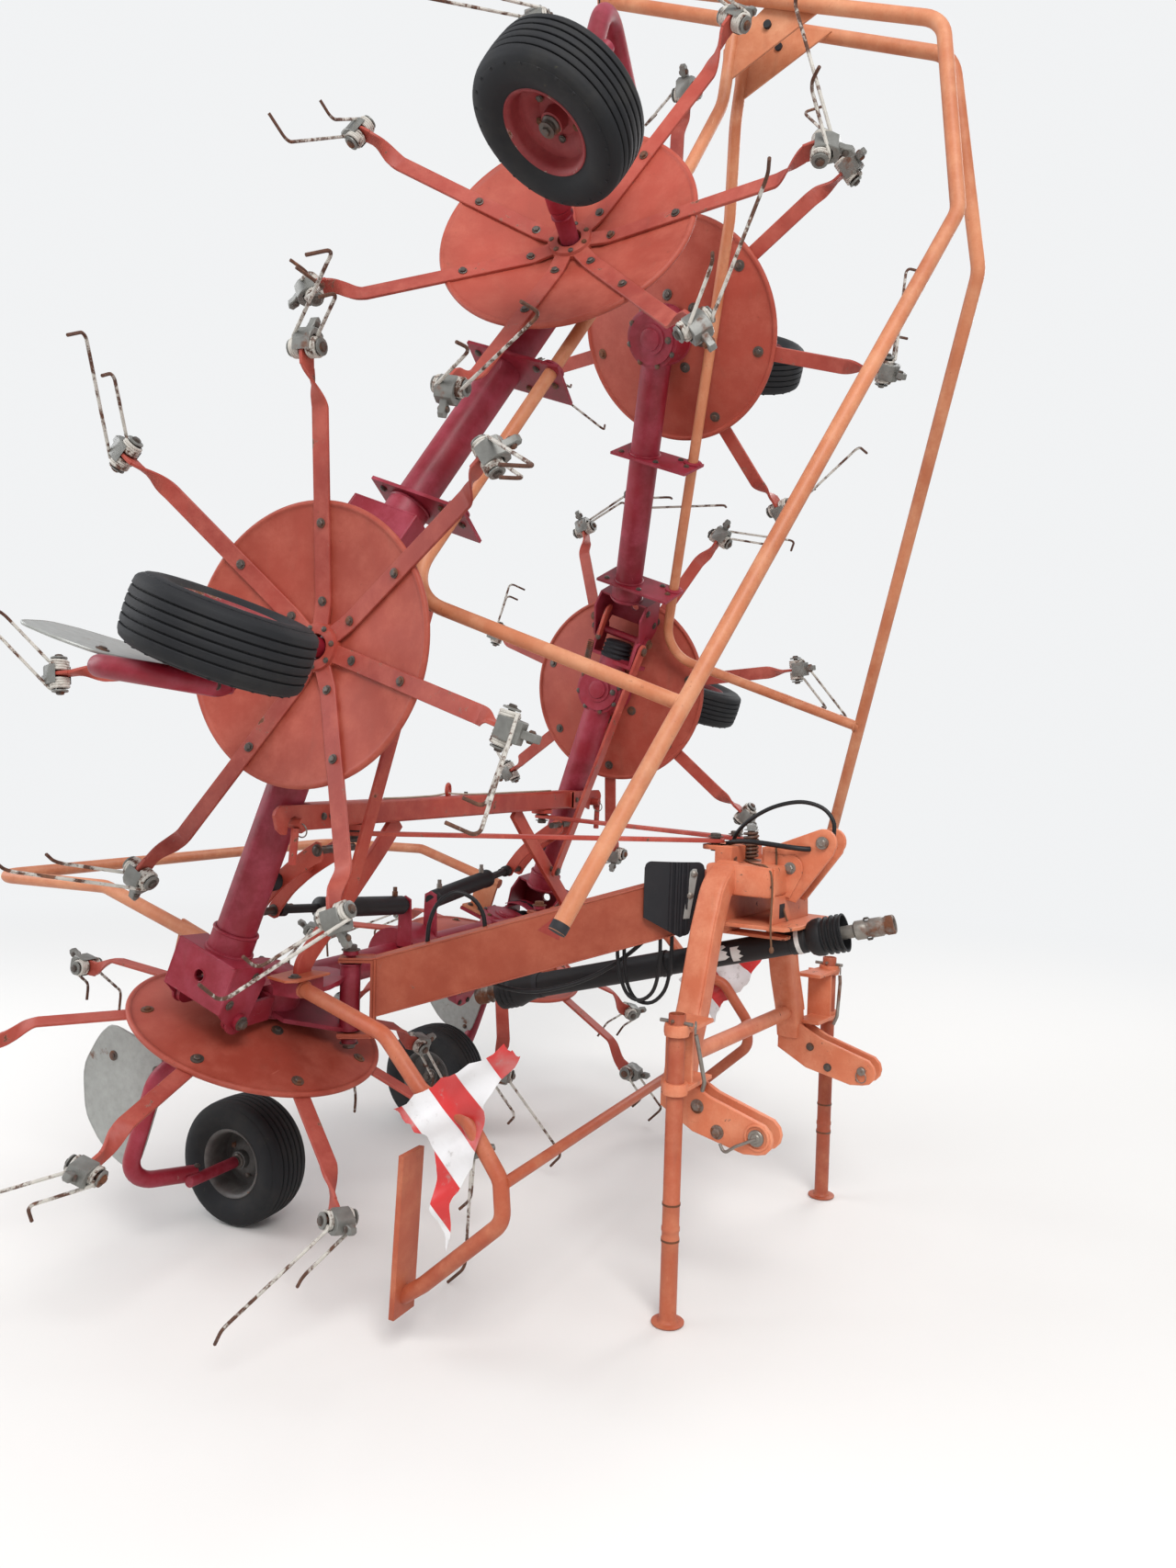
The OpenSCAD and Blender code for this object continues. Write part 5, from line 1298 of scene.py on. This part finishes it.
# Tower plates, front wall and lugs of the linkage bolts
round_end = arc(TOWER_X, TOWER_Y, 0.040, 90, 180, 15)
tower = [(-0.262, 0.112)] + round_end + [(x, -y) for x, y in round_end[::-1]] + [(-0.262, -0.112)]
for z in (1.030, 1.148):
    s.prism(tower, z, z + 0.012, bevel=0.0015)
box_beam(s, (-0.277, -0.232, 1.095), (-0.277, 0.232, 1.095), X, 0.030, 0.130, 0.006)
for y in (-TOWER_Y, TOWER_Y):
    s.tube([(TOWER_X, y, 1.028), (TOWER_X, y, 1.160)], 0.0149, 20, "bolt_dark")
    bolt(s, (TOWER_X, y, 1.160), Z, 0.022, washer=1.15, head=0.6)
    bolt(s, (TOWER_X, y, 1.030), -Z, 0.022, washer=1.15, head=0.6)
    s.lathe((TOWER_X, y, 0), LUG, 36)
    s.tube([(TOWER_X, y, 1.270), (TOWER_X, y, 1.322)], 0.0149, 20, "bolt_dark")
    bolt(s, (TOWER_X, y, 1.314), Z, 0.022, washer=1.1, head=0.55)
s.prism(WEB, 1.276, 1.290, bevel=0.001)
s.prism(BLOCK, 1.236, 1.290, bevel=0.003)
# Jaw plates of the top link with their doublers
for side, m in HALVES:
    s.prism(JAW, -0.044, -0.032, m @ XZ, 0.002)
    s.prism(DOUBLER, -0.0505, -0.044, m @ XZ, 0.0015)
    bolt(s, m @ Vector((-0.101, 0.0505, 1.233)), (0, side, 0), 0.015, mat="pin_steel", washer=1.25, head=0.8)
s.tube([(-0.101, -0.044, 1.233), (-0.101, 0.044, 1.233)], 0.011, 16, "pin_steel")
# Rusty spring on its bolt behind the box
s.lathe((-0.262, 0.010, 1.236), SPRING_CUP, 24, mat="spring_rust")
coil_spring(s, (-0.262, 0.010, 1.250), (-0.262, 0.010, 1.330), 0.021, 0.0046, 6.5, "spring_rust")
bolt(s, (-0.262, 0.010, 1.336), Z, 0.019, mat="shield_grey", washer=1.2, head=1.1)
s.build("headstock_frame", "headstock", HEAD, ["headstock"])

# Pins of the lower and top links with collars, handles and ring clips
LOWER_PIN = [(0, 0.011), (0.003, 0.0139), (0.101, 0.0139), (0.104, 0.011)]
TOP_PIN = [(0, 0.009), (0.003, 0.0124), (0.117, 0.0124), (0.120, 0.009)]
PIN_HEAD = [(0, 0.014), (0, 0.022), (0.002, 0.023), (0.008, 0.023), (0.010, 0.021), (0.010, 0.0)]
TOP_HEAD = [(0, 0.0), (0, 0.018), (0.002, 0.0195), (0.010, 0.0195), (0.012, 0.018), (0.012, 0.012)]
HANDLE = [(0.004, 0.463, 0.530), (-0.055, 0.470, 0.498), (-0.090, 0.466, 0.470), (-0.105, 0.463, 0.494)]
s = Shape("pin_steel")
for side, m in HALVES:
    s.lathe(m @ Vector((0, 0.361, LINK_Z)), LOWER_PIN, 28, (0, side, 0))
    s.lathe(m @ Vector((0, 0.4515, LINK_Z)), PIN_HEAD, 28, (0, side, 0))
    s.tube(at(m, *rounded(HANDLE, 0.012, 14)), 0.0045, 10)
    ring(s, m @ Vector((0.0, 0.368, 0.510)), (0.2, 1, 0), 0.019, 0.0018)
s.build("lower_link_pins", "headstock", HEAD, ["hitch_pins"])
s = Shape("pin_steel")
s.lathe((0, -0.060, TOP_Z), TOP_PIN, 28, Y)
s.lathe((0, -0.0565, TOP_Z), TOP_HEAD, 28, Y)
ring(s, (0.006, 0.053, 1.300), (0.1, 1, 0), 0.022, 0.0020)
s.build("top_link_bolt", "headstock", HEAD, ["top_link_pin"])

# Parking stands: open tube, foot plate with a weld, bands and spring pins
STAND = [(0.0, 0.0), (0.0, 0.044), (0.002, 0.046), (0.005, 0.046), (0.006, 0.044), (0.006, 0.029),
         (0.012, 0.025), (0.018, 0.024), (0.225, 0.024), (0.228, 0.0258), (0.240, 0.0258), (0.243, 0.024),
         (0.257, 0.024), (0.260, 0.0258), (0.270, 0.0258), (0.273, 0.024), (0.329, 0.024), (0.331, 0.0255),
         (0.337, 0.0255), (0.339, 0.024), (0.860, 0.024), (0.862, 0.023), (0.862, 0.0205), (0.800, 0.0205),
         (0.800, 0.0)]
for label, side in SIDES:
    s = Shape("stand_orange")
    s.lathe(ORIGIN, STAND, 36)
    for z, r in ((0.234, 0.0262), (0.3345, 0.0258)):
        s.lathe((0, 0, z), band(-0.003, 0.003, 0.0245, r), 32, mat="spring_rust", loop=True)
    s.tube([(0, -0.030, 0.845), (0, 0.030, 0.845)], 0.005, 12, "pin_steel")
    s.build("stand_tube_" + label, "stand_" + label,
            HEAD @ mirrored(side) @ Matrix.Translation((STAND_X, STAND_Y, 0)), ["stand_" + label])

# Flat bars above the booms and beside the folded wings, with rounded ends and bolts
STRUT_LOW = Vector((0.150, *STRUT_FOOT))
STRUT_HIGH = Vector((0.150, 0.751, 1.408))
for label, side in SIDES:
    m, span = boom_matrix(side)
    s = Shape("frame_red")
    bar = arc(0, 0, 0.028, 100, 260, 20) + [(0.030, -0.025), (span - 0.030, -0.025)]
    bar += arc(span, 0, 0.0285, -80, 80, 20) + [(span - 0.030, 0.025), (0.030, 0.025)]
    s.prism(bar, 1.296, 1.308, bevel=0.0015)
    s.build("sway_bar_strip_" + label, "boom_" + label, m, ["sway_bar_" + label])
    v = STRUT_HIGH - STRUT_LOW
    n = v.length
    flat = mirrored(side) @ Matrix.Translation(STRUT_LOW) @ YZ @ Matrix.Rotation(math.atan2(v.z, v.y), 4, "Z")
    s = Shape("frame_red")
    s.prism(arc(0, 0, 0.026, 90, 270, 15) + arc(n, 0, 0.026, -90, 90, 15), 0.0, 0.012, flat, 0.0015)
    s.lathe(flat @ Vector((n, 0, 0.012)), [(0, 0.0165), (0.008, 0.0165), (0.010, 0.014), (0.010, 0.0)], 24, X,
            "bolt_dark")
    s.build("lock_strut_bar_" + label, "strut_" + label, wing_matrix(0, 1), ["lock_strut_" + label])

# Warning sheets: crumpled film with torn edges on each side of the front guard
FILM_GRID = 0.009
FILMS = (
    ("left", 1, 2.1, [(-0.857, 0.632), (-0.528, 0.851), (-0.470, 0.800), (-0.560, 0.640), (-0.640, 0.560),
                      (-0.690, 0.470), (-0.740, 0.600)]),
    ("right", -1, 0.4, [(-0.857, 0.632), (-0.700, 0.735), (-0.528, 0.851), (-0.486, 0.821), (-0.575, 0.690),
                        (-0.600, 0.560), (-0.655, 0.430), (-0.676, 0.310), (-0.700, 0.400), (-0.712, 0.520),
                        (-0.742, 0.600)]),
)


def film(name, outline, phase):
    """A crumpled sheet in the xz plane, and its area."""
    line = [(a[0] + (b[0] - a[0]) * k / 6, a[1] + (b[1] - a[1]) * k / 6)
            for a, b in zip(outline, outline[1:] + outline[:1]) for k in range(6)]
    line = [(x + 0.006 * math.sin(31 * i + phase), z + 0.006 * math.cos(23 * i + phase))
            for i, (x, z) in enumerate(line)]
    bm = bmesh.new()
    bm.faces.new([bm.verts.new((x, 0, z)) for x, z in line])
    for axis in (0, 2):
        values = [p[axis // 2] for p in line]
        k = min(values) + FILM_GRID
        while k < max(values):
            co, no = Vector((0, 0, 0)), Vector((0, 0, 0))
            co[axis], no[axis] = k, 1
            bmesh.ops.bisect_plane(bm, geom=bm.verts[:] + bm.edges[:] + bm.faces[:], plane_co=co, plane_no=no)
            k += FILM_GRID
    for v in bm.verts:
        x, z = v.co.x, v.co.z
        fold = abs(((x * 1.1 - z * 0.9) * 9 + phase) % 2 - 1)
        v.co.y = (0.020 * fold + 0.010 * math.sin(23 * x + 11 * z + phase) + 0.006 * math.sin(57 * z - 31 * x)
                  + 0.010 * abs(math.sin(14 * (x + z)))) - 0.022
        v.co.x += 0.004 * math.sin(40 * z + phase)
    area = sum(f.calc_area() for f in bm.faces)
    mesh = bpy.data.meshes.new(name)
    bm.to_mesh(mesh)
    bm.free()
    mesh.materials.append(MATS["sheet_white"])
    mesh.polygons.foreach_set("use_smooth", [True] * len(mesh.polygons))
    return mesh, area


for label, side, phase, outline in FILMS:
    mesh, area = film("warning_film_" + label, outline, phase)
    mesh.transform(ROAD @ mirrored(side) @ Matrix.Translation((0, LOOP_Y + 0.034, 0)))
    if side < 0:
        mesh.flip_normals()
    obj = bpy.data.objects.new("warning_film_" + label, mesh)
    scene.collection.objects.link(obj)
    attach(obj, "frame")
    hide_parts("warning_sheet_" + label)

# Folding cylinders between the levers and the middle of the centre frame
CYLINDER = [(-0.020, 0.010), (-0.020, 0.020), (0.0, 0.024), (0.010, 0.033), (0.400, 0.033), (0.405, 0.036),
            (0.425, 0.036), (0.430, 0.030), (0.436, 0.014)]
PORT = [(0, 0.010), (0.018, 0.010), (0.020, 0.0075), (0.034, 0.0075)]
CYLINDER_FOOT = [(-1.500, 0.860), (-1.440, 0.860), (-1.446, 1.030), (-1.470, 1.042), (-1.494, 1.030)]
s = Shape("black_plastic")
for side, m in HALVES:
    a, b = at(m, (-1.470, 0.095, 1.010), (-1.506, 0.700, 1.062))
    n = (b - a).length
    s.lathe(a, CYLINDER + [(n - 0.030, 0.014), (n - 0.026, 0.022), (n, 0.022), (n, 0.0)], 36, b - a)
    for k in (0.045, 0.375):
        s.lathe(a + (b - a).normalized() * k + Vector((0, 0, 0.030)), PORT, 16, mat="pin_steel")
    # Bracket down to the cross tube
    s.prism(CYLINDER_FOOT, -0.085, -0.075, m @ XZ, 0.0015, "crimson")
s.build("folding_cylinders", "frame", ROAD)


# Hoses and ropes, each a smooth line through its points
def through(points, count):
    """Evenly spread points on a smooth curve through the given ones."""
    p = [Vector(q) for q in points]
    p = [2 * p[0] - p[1]] + p + [2 * p[-1] - p[-2]]
    fine = []
    for i in range(1, len(p) - 2):
        for k in range(16):
            t = k / 16
            fine.append(0.5 * (2 * p[i] + (p[i + 1] - p[i - 1]) * t
                               + (2 * p[i - 1] - 5 * p[i] + 4 * p[i + 1] - p[i + 2]) * t * t
                               + (3 * p[i] - p[i - 1] - 3 * p[i + 1] + p[i + 2]) * t ** 3))
    fine.append(p[-2])
    total = sum((b - a).length for a, b in zip(fine, fine[1:]))
    out, walked, step = [fine[0]], 0.0, total / (count - 1)
    for a, b in zip(fine, fine[1:]):
        d = (b - a).length
        while len(out) * step <= walked + d and len(out) < count - 1:
            out.append(a + (b - a) * ((len(out) * step - walked) / d))
        walked += d
    return out + [fine[-1]]


KNOT = [(-0.010, 0.003), (-0.006, 0.0062), (0.0, 0.0075), (0.006, 0.0062), (0.010, 0.003)]
# Name, body, frame, diameter, material, far end, stiffness, lay, points
CORDS = [
    ("hose_under_boom", "boom_right", near_boom, 0.014, "hose_black", "object", "medium", "hanging",
     [(0.330, 0.036, 0.935), (0.372, 0.050, 0.880), (0.440, 0.052, 0.832), (0.548, 0.052, 0.808),
      (0.660, 0.052, 0.824), (0.767, 0.052, 0.864), (0.860, 0.050, 0.925), (0.935, 0.046, 0.995),
      (0.975, 0.036, 1.050)]),
    ("hose_loop_front", "boom_right", near_boom, 0.012, "hose_black", "object", "medium", "hanging",
     [(0.992, -0.012, 1.016), (0.992, -0.014, 0.960), (0.989, -0.012, 0.890), (0.975, -0.006, 0.825),
      (0.938, 0.004, 0.785), (0.892, 0.012, 0.790), (0.862, 0.018, 0.835), (0.850, 0.020, 0.900),
      (0.846, 0.020, 0.966)]),
    ("hose_loop_rear", "boom_right", near_boom, 0.012, "hose_black", "object", "medium", "hanging",
     [(0.955, -0.012, 1.006), (0.955, -0.018, 0.950), (0.951, -0.018, 0.880), (0.935, -0.014, 0.822),
      (0.900, -0.008, 0.795), (0.862, -0.002, 0.808), (0.838, 0.002, 0.855), (0.826, 0.004, 0.915),
      (0.822, 0.004, 0.960)]),
    ("hose_over_boom", "boom_right", near_boom, 0.014, "hose_black", "object", "stiff", "loose",
     [(0.230, 0.022, 0.965), (0.236, 0.024, 1.030), (0.262, 0.026, 1.090), (0.312, 0.028, 1.122),
      (0.366, 0.028, 1.104), (0.398, 0.026, 1.060), (0.408, 0.022, 1.010)]),
    ("hose_over_jaw", "headstock", HEAD, 0.013, "hose_black", "object", "stiff", "loose",
     [(-0.312, -0.020, 1.291), (-0.290, -0.034, 1.330), (-0.240, -0.040, 1.376), (-0.165, -0.034, 1.418),
      (-0.085, -0.018, 1.436), (-0.020, -0.004, 1.420), (0.014, 0.0, 1.380), (0.016, 0.0, 1.334)]),
    ("hose_to_jaw", "headstock", HEAD, 0.016, "hose_black", "object", "stiff", "loose",
     [(-0.312, -0.058, 1.293), (-0.286, -0.064, 1.302), (-0.230, -0.072, 1.307), (-0.160, -0.076, 1.304),
      (-0.095, -0.072, 1.299), (-0.055, -0.058, 1.296), (-0.040, -0.046, 1.296)]),
    ("rope_over_box", "headstock", HEAD, 0.006, "rope_brown", "knot", "limp", "hanging",
     [(-0.255, -0.038, 1.243), (-0.220, -0.080, 1.2435), (-0.180, -0.120, 1.2435), (-0.138, -0.150, 1.243),
      (-0.112, -0.1655, 1.225), (-0.104, -0.170, 1.180), (-0.100, -0.180, 1.120), (-0.098, -0.186, 1.060),
      (-0.092, -0.188, 1.000)]),
    ("rope_at_jaw", "headstock", HEAD, 0.006, "rope_brown", "object", "limp", "hanging",
     [(-0.150, -0.0475, 1.301), (-0.146, -0.054, 1.270), (-0.140, -0.056, 1.210), (-0.128, -0.057, 1.150),
      (-0.112, -0.058, 1.100), (-0.100, -0.060, 1.070)]),
    ("rope_on_beam", "frame", ROAD, 0.006, "rope_pale", "object", "limp", "loose",
     [(-1.290, -0.470, 1.405), (-1.280, -0.380, 1.4052), (-1.288, -0.280, 1.4052), (-1.296, -0.180, 1.4055),
      (-1.299, -0.110, 1.410), (-1.300, -0.085, 1.412), (-1.300, -0.050, 1.409), (-1.292, 0.060, 1.4052),
      (-1.284, 0.200, 1.4052), (-1.292, 0.360, 1.4052), (-1.286, 0.520, 1.4052), (-1.292, 0.660, 1.4050)]),
]
for name, body, m, d, mat, far_end, stiffness, lay, points in CORDS:
    path = [m @ p for p in through(points, 36)]
    s = Shape(mat)
    s.tube(path, d / 2, 12)
    obj = s.build(name, body)
    length = sum((b - a).length for a, b in zip(path, path[1:]))
    ends = []
    if far_end == "knot":
        knot = Shape(mat)
        knot.lathe(path[-1], KNOT, 12)
        ends = [knot.build(name + "_knot", body)]

# Floor, backdrop and light
FLOOR_HALF = 60
FLOOR_Z = -0.002
PALE = (0.93, 0.94, 0.95, 1.0)
PALE_STRENGTH = 0.95
n = Nodes("floor")
n.shade(Base_Color="dddbd7", Roughness=0.9)
# Far from the machine the floor turns into the pale background
far = n.new("VectorMath")
far.operation = "LENGTH"
n.put(far.inputs[0], n.where)
ray = n.new("LightPath").outputs["Is Camera Ray"]
pale = n.new("Emission", Color=PALE, Strength=PALE_STRENGTH)
blend = n.new("MixShader")
share = n.times(ray, n.ramp(far.outputs["Value"], 3.0, 8.5))
for i, v in enumerate((share, n.shader.outputs[0], pale.outputs[0])):
    n.put(blend.inputs[i], v)
n.put(n.tree.nodes["Material Output"].inputs["Surface"], blend.outputs[0])
mesh = bpy.data.meshes.new("floor")
corners = [(x * FLOOR_HALF, y * FLOOR_HALF, FLOOR_Z) for x, y in ((-1, -1), (1, -1), (1, 1), (-1, 1))]
mesh.from_pydata(corners, [], [[0, 1, 2, 3]])
mesh.materials.append(n.material)
ground = bpy.data.objects.new("floor", mesh)
scene.collection.objects.link(ground)

world = bpy.data.worlds.new("studio")
scene.world = world
world.use_nodes = True
tree = world.node_tree
back = tree.nodes["Background"]
back.inputs["Color"].default_value = (0.93, 0.95, 1.0, 1.0)
back.inputs["Strength"].default_value = 0.7
shown = tree.nodes.new("ShaderNodeBackground")
shown.inputs["Color"].default_value = PALE
shown.inputs["Strength"].default_value = PALE_STRENGTH
ray = tree.nodes.new("ShaderNodeLightPath").outputs["Is Camera Ray"]
mixer = tree.nodes.new("ShaderNodeMixShader")
for i, v in enumerate((ray, back.outputs[0], shown.outputs[0])):
    tree.links.new(v, mixer.inputs[i])
tree.links.new(mixer.outputs[0], tree.nodes["World Output"].inputs["Surface"])


def lamp(name, place, target, size, power, colour=(1, 1, 1)):
    """A round lamp that points at its target."""
    data = bpy.data.lights.new(name, "AREA")
    data.shape = "DISK"
    data.size = size
    data.energy = power
    data.color = colour
    obj = bpy.data.objects.new(name, data)
    obj.location = place
    obj.rotation_euler = (Vector(target) - Vector(place)).to_track_quat("-Z", "Y").to_euler()
    scene.collection.objects.link(obj)


lamp("key", (4.5, -6.0, 8.0), (0, 0, 1.5), 5.0, 760)
lamp("fill", (-7.0, -3.0, 5.0), (0, 0, 1.8), 6.0, 360, (0.95, 0.97, 1.0))
lamp("rim", (2.0, 8.0, 7.0), (0, 0, 2.0), 5.0, 320)

scene.view_settings.view_transform = "Standard"
bpy.context.view_layer.update()
